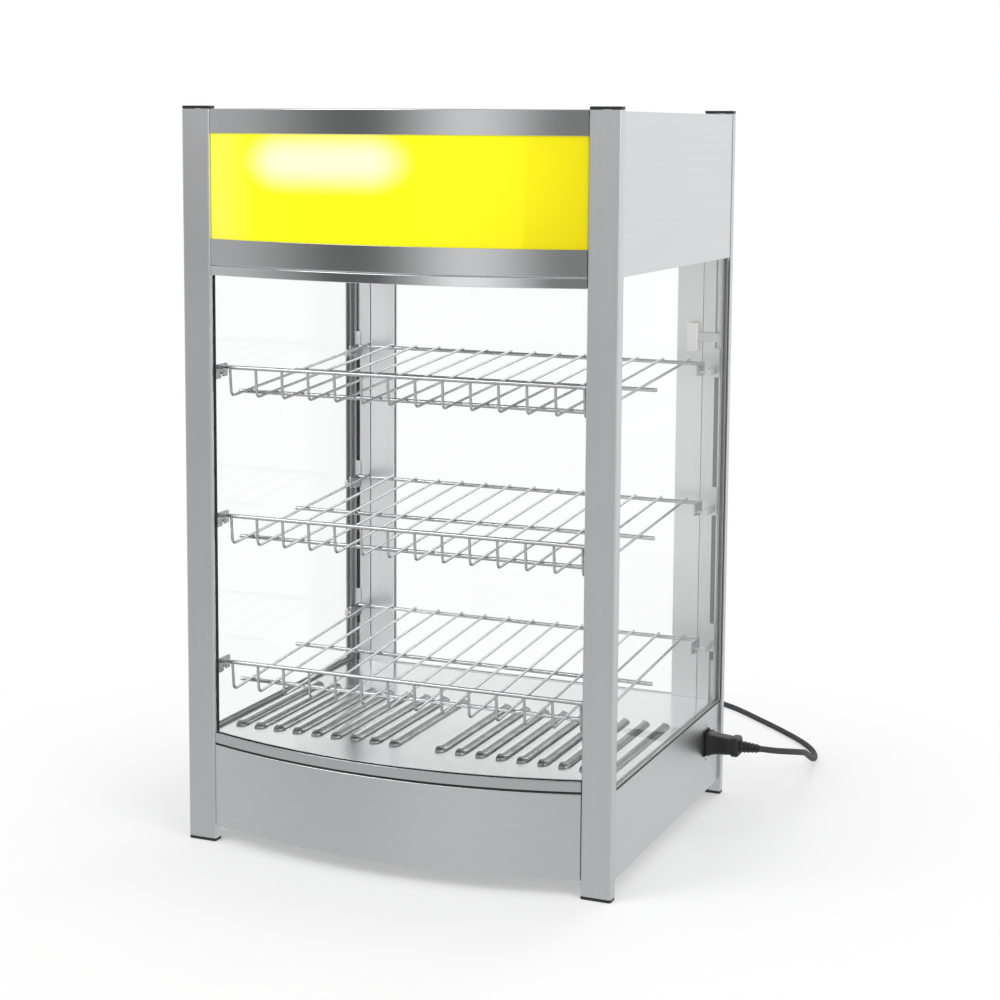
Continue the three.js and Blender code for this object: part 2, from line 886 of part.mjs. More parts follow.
function plinthBackPanel() {
  const low = plinthBottom;
  const face = block(-bayHalf, bayHalf, halfDepth - sheet, halfDepth, low, backPanelTop);
  const top = block(-bayHalf, bayHalf, bayDepth + seatGap, halfDepth, backPanelTop - sheet, backPanelTop);
  const bottom = block(-bayHalf, bayHalf, halfDepth - panelFlange, halfDepth, low, low + sheet);
  const from = halfDepth - sheet - overrun;
  const to = halfDepth + overrun;
  const shaftHole = rod("y", [thermostatX, controlZ], shaftRadius + shaftGap, from, to, hingeSides);
  const halfW = switchBodyWidth / 2 + seatGap;
  const halfH = switchBodyHeight / 2 + seatGap;
  const switchHole = block(switchX - halfW, switchX + halfW, from, to, controlZ - halfH, controlZ + halfH);
  return cut(join(face, top, bottom), shaftHole, switchHole);
}

const basePlateBottom = plinthBottom + sheet + seatGap;

function basePlate() {
  const low = basePlateBottom;
  const sideX = sidePanelOuter - sheet - seatGap;
  const plate = casePlate(sheet + seatGap, sideX, halfDepth - sheet - seatGap, low, low + sheet);
  const saddleTop = elementZ + elementRadius;
  const saddles = elementLegs.map((x) =>
    block(
      x - saddleWidth / 2, x + saddleWidth / 2,
      -saddleThickness / 2, saddleThickness / 2,
      low + sheet - bite, saddleTop,
    ),
  );
  const reach = saddleThickness;
  const seats = elementLegs.map((x) => {
    const wide = elementRadius + seatGap;
    return join(
      rod("y", [x, elementZ], wide, -reach, reach, hingeSides),
      block(x - wide, x + wide, -reach, reach, elementZ, saddleTop + overrun),
    );
  });
  return cut(join(plate, ...saddles), ...seats);
}

function heatingElement() {
  const [first, second, third, fourth] = elementLegs;
  const points = [
    [first, elementEnd], [first, elementFront],
    [second, elementFront], [second, elementTurnBack],
    [third, elementTurnBack], [third, elementFront],
    [fourth, elementFront], [fourth, elementEnd],
  ].map(([x, y]) => [x, y, elementZ]);
  return tube(bentPath(points, elementBend, elementBendSteps), elementRadius, elementSides);
}

// A pressed louvre is one half of a flattened capsule, open along its left side.
function louvreHalf(inset, left, low) {
  const wide = louvreWidth - inset;
  const length = louvreBack - louvreFront - 2 * louvreWidth;
  const geometry = new THREE.CapsuleGeometry(wide, length, louvreEndSteps, louvreSides);
  geometry.scale(1, 1, (louvreRise - inset) / wide);
  const window = block(left, louvreWidth + overrun, -length, length, low, louvreRise + overrun);
  return toSolid(geometry).intersect(window);
}

function louvrePlaces() {
  const middle = (louvreFront + louvreBack) / 2;
  return [-1, 1].flatMap((side) =>
    Array.from({ length: louvreCount }, (_, index) => {
      const x = side * (louvreCentreGap / 2 + index * louvrePitch) - louvreWidth / 2;
      return [x, middle, deckTop];
    }),
  );
}

function deck() {
  const sideX = halfWidth - deckSideInset;
  const plate = casePlate(deckFrontOffset, sideX, bayDepth, deckBottom, deckTop);
  const lip = frontBand(
    deckFrontOffset, deckFrontOffset + deckThickness, plinthFrontTop + seatGap, deckTop,
  );
  const apron = block(-bayHalf, bayHalf, bayDepth - deckThickness, bayDepth, deckTop - deckApron, deckTop);
  const outer = louvreHalf(0, 0, -deckThickness / 2);
  const inner = louvreHalf(deckThickness, -louvreShear, -deckThickness - overrun);
  const places = louvrePlaces();
  const openings = places.map((place) => inner.translate(place));
  const hoods = places.map((place) => outer.subtract(inner).translate(place));
  return join(cut(join(plate, lip, apron), ...openings), ...hoods);
}

// Wire racks. A rack is drawn level from the foot of its lip, then tilted and put in place.

function rackFoot(plane) {
  return [0, rackFootY, plane + (rackFootY + halfDepth) * rackRise];
}

function rackPoint(plane, along, up) {
  const [, y, z] = rackFoot(plane);
  return [
    y + along * Math.cos(rackTilt) - up * Math.sin(rackTilt),
    z + along * Math.sin(rackTilt) + up * Math.cos(rackTilt),
  ];
}

const rackLength = (backRailY - rackFootY) / Math.cos(rackTilt);
const railDrop = wireRadius + railRadius - bite;

function hookOutline(direction) {
  const near = hookNotchInset - hookNotchWidth / 2;
  const far = hookNotchInset + hookNotchWidth / 2;
  const points = [
    [-hookFront, railRadius, hookCorner],
    [hookBack, railRadius, hookCorner],
    [hookBack, -hookShortDrop, hookCorner],
    [far, -hookShortDrop, hookCorner / 2],
    [far, -hookNotchTop, hookCorner / 2],
    [near, -hookNotchTop, hookCorner / 2],
    [near, -hookDrop, hookCorner],
    [-hookFront, -hookDrop, hookCorner],
  ];
  const placed = points.map(([y, z]) => [direction * y, z]);
  return rounded(placed, points.map((point) => point[2]));
}

function hookPlate(side, direction, [y, z]) {
  const outline = hookOutline(direction).map(([along, up]) => [y + along, z + up]);
  const near = side * rackHalf;
  return extrude("x", outline, near, near + side * hookThickness);
}

const frontRail = (plane) => rackPoint(plane, 0, rackLip);
const backRail = (plane) => rackPoint(plane, rackLength, -railDrop);

function rack(plane) {
  const [, footY, footZ] = rackFoot(plane);
  const wires = Array.from({ length: wireCount }, (_, index) => {
    const x = wirePitch * (index - (wireCount - 1) / 2);
    const path = bentPath(
      [[x, 0, rackLip], [x, 0, 0], [x, rackLength + wireBackOverhang, 0]],
      wireBend,
      wireBendSteps,
    );
    return tube(path, wireRadius, wireSides).rotate([THREE.MathUtils.radToDeg(rackTilt), 0, 0]);
  });
  const grid = join(...wires).translate([0, footY, footZ]);
  const end = rackHalf + bite;
  const railAt = (place) => rod("x", place, railRadius, -end, end, railSides);
  const bars = crossBarShares.map((share) => {
    const y = THREE.MathUtils.lerp(frontRailY, backRailY, share);
    const along = (y - rackFootY) / Math.cos(rackTilt);
    return rod("x", rackPoint(plane, along, -railDrop), railRadius, -rackHalf, rackHalf, railSides);
  });
  const hooks = [-1, 1].flatMap((side) => [
    hookPlate(side, 1, frontRail(plane)),
    hookPlate(side, -1, backRail(plane)),
  ]);
  return join(grid, railAt(frontRail(plane)), railAt(backRail(plane)), ...bars, ...hooks);
}

// A hanger is a strip in the post's slot with an arm and a pin for each rack.
function rackHanger(sideX, sideY) {
  const slotFloor = halfDepth - postDepth + slotLip + slotChamberDepth;
  const stripNear = sideY * (slotFloor - paneGap);
  const stripFar = stripNear - sideY * hangerThickness;
  const planes = Object.values(rackPlanes);
  const railOf = sideY < 0 ? frontRail : backRail;
  const pinDrop = hookNotchTop + seatGap + pinRadius;
  const pins = planes.map((plane) => {
    const [y, z] = railOf(plane);
    return [y - sideY * hookNotchInset, z - pinDrop];
  });
  const heights = pins.map(([, z]) => z);
  const centreX = sideX * postCentreX;
  const strip = block(
    centreX - hangerWidth / 2, centreX + hangerWidth / 2,
    Math.min(stripNear, stripFar), Math.max(stripNear, stripFar),
    Math.min(...heights) - hangerEnd, Math.max(...heights) + hangerEnd,
  );
  const arms = pins.map(([y, z]) => {
    const arm = block(
      centreX - hangerArmWidth / 2, centreX + hangerArmWidth / 2,
      Math.min(y + sideY * pinRadius, stripNear), Math.max(y + sideY * pinRadius, stripNear),
      z - hangerArmHeight / 2, z + hangerArmHeight / 2,
    );
    const boss = rod(
      "x", [y, z], hangerArmHeight / 2,
      centreX - hangerArmWidth / 2, centreX + hangerArmWidth / 2, bossSides,
    );
    const pin = rod("x", [y, z], pinRadius, centreX, sideX * (rackHalf - pinOverhang), pinSides);
    return join(arm, boss, pin);
  });
  return join(strip, ...arms);
}

// Rear door.

const paneMiddleY = (doorInnerY + doorOuterY) / 2;
const windowHalf = doorHalf - doorStile;
const windowLow = doorBottom + doorBottomRail;
const windowHigh = doorTop - doorTopRail;

function doorFrame() {
  const ring = extrude(
    "y",
    rectangle(-doorHalf, doorHalf, doorBottom, doorTop),
    doorInnerY, doorOuterY,
    [rectangle(-windowHalf, windowHalf, windowLow, windowHigh)],
  );
  const grooveHalf = windowHalf + doorGroove;
  const slot = doorPaneThickness / 2 + seatGap;
  const groove = block(
    -grooveHalf, grooveHalf,
    paneMiddleY - slot, paneMiddleY + slot,
    windowLow - doorGroove, windowHigh + doorGroove,
  );
  const front = doorInnerY + doorWall;
  const back = doorOuterY - doorWall;
  const stileHollows = [-1, 1].map((side) =>
    block(
      side * (doorHalf - doorWall), side * (grooveHalf + doorWall),
      front, back,
      doorBottom - overrun, doorTop + overrun,
    ),
  );
  const reach = grooveHalf + 2 * doorWall;
  const lowHollow = block(
    -reach, reach, front, back, doorBottom + doorWall, windowLow - doorGroove - doorWall,
  );
  const highHollow = block(
    -reach, reach, front, back, windowHigh + doorGroove + doorWall, doorTop - doorWall,
  );
  return cut(ring, groove, ...stileHollows, lowHollow, highHollow);
}

function doorGlass() {
  const half = windowHalf + doorGroove - seatGap;
  return block(
    -half, half,
    paneMiddleY - doorPaneThickness / 2, paneMiddleY + doorPaneThickness / 2,
    windowLow - doorGroove + seatGap, windowHigh + doorGroove - seatGap,
  );
}

const hingePlateNear = doorOuterY + seatGap;
const hingePlateFar = hingePlateNear + hingePlateThickness;
const knuckleHalf = (hingeHeight - seatGap) / 2;

function hingeBracket(low) {
  const outerEnd = hingeAxisX - hingePlateReach - hingePlateWidth;
  const clearEnd = hingeAxisX - knuckleRadius - seatGap;
  const mid = low + knuckleHalf;
  const high = low + hingeHeight;
  return join(
    block(outerEnd, clearEnd, hingePlateNear, hingePlateFar, low, high),
    block(outerEnd, hingeAxisX, hingePlateNear, hingePlateFar, low, mid),
    rod("z", [hingeAxisX, hingeAxisY], knuckleRadius, low, mid, hingeSides),
    rod("z", [hingeAxisX, hingeAxisY], hingePinRadius, mid - bite, high - seatGap, hingeSides),
  );
}

function hingeLeaf(low) {
  const outerEnd = hingeAxisX + hingePlateReach + hingePlateWidth;
  const clearEnd = hingeAxisX + knuckleRadius + seatGap;
  const mid = low + knuckleHalf + seatGap;
  const high = low + hingeHeight;
  const leaf = join(
    block(clearEnd, outerEnd, hingePlateNear, hingePlateFar, low, high),
    block(hingeAxisX, outerEnd, hingePlateNear, hingePlateFar, mid, high),
    rod("z", [hingeAxisX, hingeAxisY], knuckleRadius, mid, high, hingeSides),
  );
  const bore = rod(
    "z", [hingeAxisX, hingeAxisY], hingePinRadius + seatGap, mid - overrun, high + overrun, hingeSides,
  );
  return cut(leaf, bore);
}

function doorHandle() {
  const high = handleBottom + handleLength;
  const barY = halfDepth + handleReach - handleRadius;
  const footY = doorOuterY + seatGap;
  const points = [
    [handleX, footY, handleBottom],
    [handleX, barY, handleBottom],
    [handleX, barY, high],
    [handleX, footY, high],
  ];
  const bar = tube(bentPath(points, handleBend, handleBendSteps), handleRadius, handleSides);
  const feet = [handleBottom, high].map((z) =>
    rod("y", [handleX, z], handleFootRadius, footY, footY + handleFootHeight, hingeSides),
  );
  return join(bar, ...feet);
}

// Magnetic catch on the right rear post, and its strike on the door.
function doorCatch() {
  const face = doorInnerY - strikeThickness - 2 * seatGap;
  const right = catchLeft + catchWidth;
  const back = face - catchArmThickness;
  const armLow = (catchBottom + catchTop - catchArmHeight) / 2;
  const armHigh = armLow + catchArmHeight;
  return join(
    block(catchLeft, right, face - catchDepth, face, catchBottom, catchTop),
    block(right - bite, catchArmReach, back, face, armLow, armHigh),
    block(catchArmReach - catchFootWidth, catchArmReach, back, postInnerY - seatGap, armLow, armHigh),
  );
}

function catchStrike() {
  const left = catchLeft + strikeMargin;
  const outer = doorInnerY - seatGap;
  return block(
    left, left + strikeWidth,
    outer - strikeThickness, outer,
    catchBottom - strikeMargin, catchTop + strikeMargin,
  );
}

// Controls on the back of the plinth.

function thermostat() {
  const front = halfDepth - sheet - seatGap;
  const half = thermostatSize / 2;
  const outline = rectangle(thermostatX - half, thermostatX + half, controlZ - half, controlZ + half);
  const body = extrude("y", rounded(outline, thermostatCorner), front - thermostatDepth, front);
  const shaft = rod(
    "y", [thermostatX, controlZ], shaftRadius, front - bite, halfDepth + shaftLength, hingeSides,
  );
  const rear = front - thermostatDepth;
  const bulbX = thermostatX - thermostatSize;
  const bulbY = rear - thermostatSize;
  const capillary = tube(
    bentPath(
      [
        [thermostatX, rear + bite, controlZ + half / 2],
        [thermostatX, bulbY, controlZ + half / 2],
        [thermostatX, bulbY, bulbZ],
        [bulbX, bulbY, bulbZ],
      ],
      capillaryBend,
      wireBendSteps,
    ),
    capillaryRadius,
    wireSides,
  );
  const bulb = rod("x", [bulbY, bulbZ], bulbRadius, bulbX + bite - bulbLength, bulbX + bite, railSides);
  return join(body, shaft, capillary, bulb);
}

function thermostatKnob() {
  const base = halfDepth + knobStandoff;
  const bore = shaftRadius + seatGap;
  const boreDepth = shaftLength - knobStandoff + seatGap;
  const profile = [
    [bore, 0],
    [knobRadius, 0],
    [knobRadius, knobSkirt],
    [knobGripRadius, knobSkirt + knobChamfer],
    [knobGripRadius - knobChamfer, knobHeight - knobChamfer],
    [knobGripRadius - 2 * knobChamfer, knobHeight],
    [0, knobHeight],
    [0, boreDepth],
    [bore, boreDepth],
    [bore, 0],
  ];
  return turned(profile, unitY, [thermostatX, base, controlZ], knobSides);
}

const bezelOuterY = halfDepth + seatGap + bezelThickness;
const rockerPivotY = bezelOuterY - rockerPivotDepth;

function switchHousing() {
  const inner = halfDepth - switchDepth;
  const halfW = switchBodyWidth / 2;
  const halfH = switchBodyHeight / 2;
  const body = block(
    switchX - halfW, switchX + halfW, inner, bezelOuterY, controlZ - halfH, controlZ + halfH,
  );
  const bezel = rectangle(
    switchX - bezelWidth / 2, switchX + bezelWidth / 2,
    controlZ - bezelHeight / 2, controlZ + bezelHeight / 2,
  );
  const pocketHalf = rockerWidth / 2 + seatGap;
  const pocket = block(
    switchX - pocketHalf, switchX + pocketHalf,
    rockerPivotY - pocketFloor, bezelOuterY + overrun,
    controlZ - pocketHalfHeight, controlZ + pocketHalfHeight,
  );
  const plate = extrude("y", rounded(bezel, bezelThickness), halfDepth + seatGap, bezelOuterY);
  return cut(join(body, plate), pocket);
}

// The rocker's outline as shares of the pocket's half height: out from the pivot, then up.
const rockerShares = [
  [0.08, -0.92], [0.46, -0.9], [0.35, 0], [0.46, 0.9], [0.08, 0.92], [-0.24, 0.24], [-0.24, -0.24],
];

function heatSwitchRocker() {
  const outline = rockerShares.map(([out, up]) => {
    const point = new THREE.Vector2(out, up).multiplyScalar(pocketHalfHeight);
    point.rotateAround(new THREE.Vector2(), -rockerTilt);
    return [rockerPivotY + point.x, controlZ + point.y];
  });
  return extrude("x", outline, switchX - rockerWidth / 2, switchX + rockerWidth / 2);
}

// Mains inlet, upright, with two screw ears.

function inletSection(width, height, corner) {
  const outline = rectangle(
    inletY - width / 2, inletY + width / 2,
    inletZ - height / 2, inletZ + height / 2,
  );
  return rounded(outline, [0, corner, corner, 0]);
}

function pinPlaces() {
  return [[-1, -1], [0, 1], [1, -1]].map(([across, rise]) => [
    inletY + (rise * inletPinRaise) / 2,
    inletZ + across * inletPinSpread,
  ]);
}

function powerInlet() {
  const faceX = sidePanelOuter + seatGap + inletFlange;
  const backX = sidePanelOuter + seatGap;
  const halfW = inletFlangeWidth / 2;
  const halfH = inletBodyHeight / 2;
  const earW = inletEarWidth / 2;
  const earH = inletEarHeight / 2;
  const corner = inletFlangeCorner;
  const points = [
    [-halfW, -halfH, corner], [-earW, -earH, earW / 2], [earW, -earH, earW / 2], [halfW, -halfH, corner],
    [halfW, halfH, corner], [earW, earH, earW / 2], [-earW, earH, earW / 2], [-halfW, halfH, corner],
  ];
  const outline = rounded(
    points.map(([y, z]) => [inletY + y, inletZ + z]),
    points.map((point) => point[2]),
  );
  const flange = extrude("x", outline, backX, faceX);
  const shell = extrude(
    "x", inletSection(inletShellWidth, inletShellHeight, inletCavityCorner), faceX - inletShellDepth, faceX,
  );
  const cavity = extrude(
    "x", inletSection(inletCavityWidth, inletCavityHeight, inletCavityCorner),
    faceX - inletCavityDepth, faceX + overrun,
  );
  const screws = [-1, 1].map((end) =>
    rod(
      "x", [inletY, inletZ + (end * inletScrewSpacing) / 2], inletScrewRadius,
      backX - overrun, faceX + overrun, pinSides,
    ),
  );
  const pins = pinPlaces().map(([y, z]) =>
    block(
      faceX - inletCavityDepth - bite, faceX - inletCavityDepth + inletPinLength,
      y - inletPinThickness / 2, y + inletPinThickness / 2,
      z - inletPinWidth / 2, z + inletPinWidth / 2,
    ),
  );
  return join(cut(join(flange, shell), cavity, ...screws), ...pins);
}

// A ribbed, tapered strain relief: profile points from the root outwards.
function reliefProfile(length, ribs) {
  const pitch = length / ribs;
  const points = [[0, -bite], [reliefRootRadius, -bite]];
  for (let index = 0; index < ribs; index += 1) {
    const share = index / (ribs - 1);
    const radius = THREE.MathUtils.lerp(reliefRootRadius, reliefTipRadius, share);
    const start = index * pitch;
    points.push([radius, start + pitch / 2], [radius - reliefGroove, start + pitch / 2]);
    points.push([radius - reliefGroove, start + pitch]);
    if (index < ribs - 1) points.push([radius - reliefGroove / 2, start + pitch]);
  }
  points.push([0, length]);
  return points;
}

function cordConnector() {
  const start = halfWidth + seatGap;
  const end = start + connectorLength;
  const outline = rectangle(
    inletY - connectorWidth / 2, inletY + connectorWidth / 2,
    inletZ - connectorHeight / 2, inletZ + connectorHeight / 2,
  );
  const body = extrude("x", rounded(outline, connectorCorner), start, end);
  const noseWidth = inletCavityWidth - 2 * seatGap;
  const noseHeight = inletCavityHeight - 2 * seatGap;
  const nose = extrude(
    "x", inletSection(noseWidth, noseHeight, inletCavityCorner), start - noseLength, start + bite,
  );
  const slots = pinPlaces().map(([y, z]) =>
    block(
      start - noseLength - overrun, start + overrun,
      y - inletPinThickness / 2 - seatGap, y + inletPinThickness / 2 + seatGap,
      z - inletPinWidth / 2 - seatGap, z + inletPinWidth / 2 + seatGap,
    ),
  );
  const relief = turned(reliefProfile(reliefLength, reliefRibs), unitX, [end, inletY, inletZ], reliefSides);
  return join(cut(join(body, nose), ...slots), relief);
}

const powerCord = () => tube(cordPath, cordRadius, cordSides);

// The coil winds inwards on the floor, climbs half a turn and winds outwards on top of itself.
function coilStations() {
  const [centreX, centreY] = coilPlace;
  const half = coilTurns / 2;
  const count = coilTurns * coilSteps;
  const turns = Array.from({ length: count + 1 }, (_, index) => {
    const turn = index / coilSteps;
    const radius = coilOuterRadius - coilRadialPitch * (half - Math.abs(turn - half));
    const climb = THREE.MathUtils.smoothstep(turn, half - climbTurns / 2, half + climbTurns / 2);
    const angle = -2 * Math.PI * turn;
    return [
      centreX + radius * Math.cos(angle),
      centreY + radius * Math.sin(angle),
      coilBottomZ + coilLayerPitch * climb,
    ];
  });
  const [startX, startY, startZ] = turns[0];
  const [endX, endY, endZ] = turns.at(-1);
  return [
    [startX, startY + coilLead, startZ],
    ...turns,
    [endX, endY + coilTail / 2, endZ],
    [endX, endY + coilTail, endZ],
  ];
}

function leastCoilGap(stations) {
  const points = stations.map((station) => new THREE.Vector3(...station));
  const apart = coilSteps / 2;
  let least = Infinity;
  points.forEach((point, index) => {
    for (let other = index + apart; other < points.length - 1; other += 1) {
      const chord = new THREE.Line3(points[other], points[other + 1]);
      const near = chord.closestPointToPoint(point, true, new THREE.Vector3());
      least = Math.min(least, near.distanceTo(point) - 2 * cordRadius);
    }
  });
  return least;
}

function powerCordCoil() {
  const stations = coilStations();
  console.log("least gap of the coil to itself: " + leastCoilGap(stations).toFixed(2) + " mm");
  return tube(stations, cordRadius, coilSides);
}

// The tie goes round the four strands at the coil's back.
function cordTie() {
  const [centreX, centreY] = coilPlace;
  const half = coilTurns / 2;
  const outerTurn = 3 / 4;
  const innerTurn = outerTurn + 1;
  const outerRadius = coilOuterRadius - coilRadialPitch * Math.min(outerTurn, half);
  const innerRadius = coilOuterRadius - coilRadialPitch * Math.min(innerTurn, half);
  const reach = cordRadius + tieClearance;
  const front = centreY + innerRadius - reach;
  const back = centreY + outerRadius + reach;
  const low = coilBottomZ - reach;
  const high = coilBottomZ + coilLayerPitch + reach;
  const outline = rectangle(front - tieWall, back + tieWall, low - tieWall, high + tieWall);
  const left = centreX - tieWidth / 2;
  const right = centreX + tieWidth / 2;
  const inside = rectangle(front, back, low, high);
  const loop = extrude("x", rounded(outline, 2 * tieWall), left, right, [inside]);
  const middle = (front + back) / 2;
  const head = block(
    left - tieWall / 2, right + tieWall / 2,
    middle - tieHead / 2, middle + tieHead / 2,
    high + tieWall / 2, high + tieWall + tieHead / 2,
  );
  return join(loop, head);
}

function mainsPlug() {
  const [endX, endY] = coilStations().at(-1);
  const start = endY + seatGap;
  const bodyStart = start + plugReliefLength;
  const bodyEnd = bodyStart + plugLength;
  const half = plugWidth / 2;
  const low = seatGap;
  const high = 2 * plugAxisZ - low;
  const outline = [
    [endX - half + plugTaper, bodyStart],
    [endX + half - plugTaper, bodyStart],
    [endX + half, bodyEnd],
    [endX - half, bodyEnd],
  ];
  const backOutline = outline.map(([x, y]) => [
    endX + (x - endX) * (1 - plugStep / plugTaper),
    y === bodyEnd ? y - plugStep : y + plugStep,
  ]);
  const step = THREE.MathUtils.lerp(low, high, 2 / 3);
  const body = join(
    extrude("z", rounded(backOutline, plugCorner), low, step + bite),
    extrude("z", rounded(outline, plugCorner), step, high),
  );
  const outwards = reliefProfile(plugReliefLength, reliefRibs);
  const inwards = outwards.map(([radius, height]) => [radius, plugReliefLength - height]).reverse();
  const relief = turned(inwards, unitY, [endX, start, plugAxisZ], reliefSides);
  const pinAt = (x, y, [wide, deep, tall]) =>
    block(x - wide / 2, x + wide / 2, y - deep / 2, y + deep / 2, high - bite, high + tall);
  const lineY = bodyStart + plugPinY;
  return join(
    body,
    relief,
    pinAt(endX - plugPinX, lineY, linePin),
    pinAt(endX + plugPinX, lineY, linePin),
    pinAt(endX, lineY + plugEarthPitch, earthPin),
  );
}

// Assembly.

const finishes = {
  brushedSteel: { color: 0xb9bbbd, roughness: 0.35, metalness: 1 },
  brightSteel: { color: 0xd6d8da, roughness: 0.18, metalness: 1 },
  galvanised: { color: 0xa4a8ab, roughness: 0.5, metalness: 1 },
  anodised: { color: 0xaeb1b3, roughness: 0.4, metalness: 1 },
  rackWire: { color: 0xbfc2c4, roughness: 0.25, metalness: 1 },
  glass: { color: 0xe8f0ee, roughness: 0.02, metalness: 0 },
  yellowSign: { color: 0xfff014, roughness: 0.25, metalness: 0 },
  lampWhite: { color: 0xffffff, roughness: 0.4, metalness: 0 },
  blackPlastic: { color: 0x151515, roughness: 0.5, metalness: 0 },
  blackRubber: { color: 0x1a1a1a, roughness: 0.85, metalness: 0 },
  cordRubber: { color: 0x2b2d30, roughness: 0.7, metalness: 0 },
  whitePlastic: { color: 0xe6e4de, roughness: 0.45, metalness: 0 },
  elementSteel: { color: 0x6f6a66, roughness: 0.6, metalness: 1 },
  rockerGreen: { color: 0x1c8f3a, roughness: 0.35, metalness: 0 },
};

const part = new THREE.Group();
part.name = "heated_display_case";

function place(name, solid, finish) {
  const mesh = new THREE.Mesh(toGeometry(solid), new THREE.MeshStandardMaterial(finishes[finish]));
  mesh.name = name;
  part.add(mesh);
}

const corners = {
  front_left: [-1, -1],
  front_right: [1, -1],
  rear_left: [-1, 1],
  rear_right: [1, 1],
};

for (const [corner, [sideX, sideY]] of Object.entries(corners)) {
  place(corner + "_post", post(sideX, sideY), "anodised");
  place(corner + "_post_cap", postCap(sideX, sideY), "blackPlastic");
  place(corner + "_post_foot", postFoot(sideX, sideY), "blackPlastic");
  place(corner + "_rack_hanger", rackHanger(sideX, sideY), "galvanised");
}

place("header_upper_rail", headerUpperRail(), "brushedSteel");
place("header_lower_rail", headerLowerRail(), "brushedSteel");
place("header_cover", headerCover(), "brushedSteel");
place("header_floor", headerFloor(), "galvanised");
place("sign_panel", signPanel(), "yellowSign");
place("lamp_batten", lampBatten(), "whitePlastic");
place("lamp_tube", lampTube(), "lampWhite");
place("upper_glass_channel", upperGlassChannel(), "brightSteel");
place("lower_glass_channel", lowerGlassChannel(), "brightSteel");
place("front_glass", frontGlass(), "glass");

for (const [name, side] of [["left", -1], ["right", 1]]) {
  place(name + "_glass_seal", sideSeal(side), "blackRubber");
  place(name + "_side_glass", sideGlass(side), "glass");
  place("plinth_" + name + "_panel", plinthSidePanel(side), "brushedSteel");
}

place("plinth_seal", plinthSeal(), "blackRubber");
place("plinth_front", plinthFront(), "brushedSteel");
place("plinth_back_panel", plinthBackPanel(), "brushedSteel");
place("base_plate", basePlate(), "galvanised");
place("deck", deck(), "brightSteel");

for (const [name, plane] of Object.entries(rackPlanes)) {
  place(name, rack(plane), "rackWire");
}

place("door_frame", doorFrame(), "anodised");
place("door_glass", doorGlass(), "glass");
place("door_handle", doorHandle(), "brightSteel");
place("door_catch", doorCatch(), "whitePlastic");
place("catch_strike", catchStrike(), "brightSteel");

for (const [name, low] of Object.entries(hingeLows)) {
  place(name + "_hinge_bracket", hingeBracket(low), "brightSteel");
  place(name + "_hinge_leaf", hingeLeaf(low), "brightSteel");
}

place("heating_element", heatingElement(), "elementSteel");
place("thermostat", thermostat(), "galvanised");
place("thermostat_knob", thermostatKnob(), "blackPlastic");
place("switch_housing", switchHousing(), "blackPlastic");
place("heat_switch_rocker", heatSwitchRocker(), "rockerGreen");
place("power_inlet", powerInlet(), "blackPlastic");
place("cord_connector", cordConnector(), "cordRubber");
place("power_cord", powerCord(), "cordRubber");
place("power_cord_coil", powerCordCoil(), "cordRubber");
place("cord_tie", cordTie(), "blackPlastic");
place("mains_plug", mainsPlug(), "blackPlastic");

// The origin stands under the middle of the case, handle and bow front counted.
part.position.y = (frontReach - rearReach) / 2;

export default part;
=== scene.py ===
"""Heated display case: posts, lit header, bow glass front, louvred deck, wire racks and cord.

The script is laid out as an add-on. Its panel in the 3D view's sidebar lists one operator for
each group of pieces and one for the stage. Lengths are in metres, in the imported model's frame:
x to the right, y to the back, z up.
"""

import json
import math

import bmesh
import bpy
from mathutils import Matrix, Vector
from mathutils.bvhtree import BVHTree

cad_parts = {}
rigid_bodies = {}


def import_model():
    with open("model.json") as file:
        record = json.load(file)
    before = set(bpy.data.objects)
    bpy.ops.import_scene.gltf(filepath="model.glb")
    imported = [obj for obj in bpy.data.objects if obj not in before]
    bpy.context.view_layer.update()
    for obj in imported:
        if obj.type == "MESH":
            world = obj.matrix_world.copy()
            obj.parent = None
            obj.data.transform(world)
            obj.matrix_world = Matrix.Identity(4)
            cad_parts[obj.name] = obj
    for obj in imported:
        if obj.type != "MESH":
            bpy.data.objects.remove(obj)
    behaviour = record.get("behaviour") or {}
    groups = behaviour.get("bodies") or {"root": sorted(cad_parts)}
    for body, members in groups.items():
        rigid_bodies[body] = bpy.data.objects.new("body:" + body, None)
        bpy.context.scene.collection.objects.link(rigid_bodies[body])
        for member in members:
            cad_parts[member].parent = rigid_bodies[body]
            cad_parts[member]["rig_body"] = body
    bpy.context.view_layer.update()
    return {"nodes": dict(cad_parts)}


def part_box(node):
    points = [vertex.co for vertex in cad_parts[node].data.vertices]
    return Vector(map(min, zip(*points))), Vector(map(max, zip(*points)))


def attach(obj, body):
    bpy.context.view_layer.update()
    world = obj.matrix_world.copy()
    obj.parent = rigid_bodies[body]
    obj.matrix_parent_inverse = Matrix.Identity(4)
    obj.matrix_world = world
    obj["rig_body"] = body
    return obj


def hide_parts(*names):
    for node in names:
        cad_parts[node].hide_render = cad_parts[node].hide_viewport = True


bl_info = {
    "name": "Heated Display Case",
    "version": (1, 0, 0),
    "blender": (4, 5, 0),
    "location": "View3D > Sidebar > Display Case",
    "description": "Builds a heated display case with its racks, door and cord",
    "category": "Add Mesh",
}

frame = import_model()

# Meshes: steps in a dome, a bend and a curve's bevel, and the limits for merging, flattening and
# rounding.
DOME_STEPS = 3
BEND_STEPS = 6
BEVEL_STEPS = 4
FACE_DIGITS = 7
SHADING_WEIGHT = 100
MERGE_DISTANCE = 1e-6
PLATE_FLATNESS = math.radians(1)
NODE_FLATNESS = math.radians(0.5)
ROUNDED_FOLD = math.radians(40)
CREASE = math.radians(35)
STRAIGHT_HALF = math.radians(89)

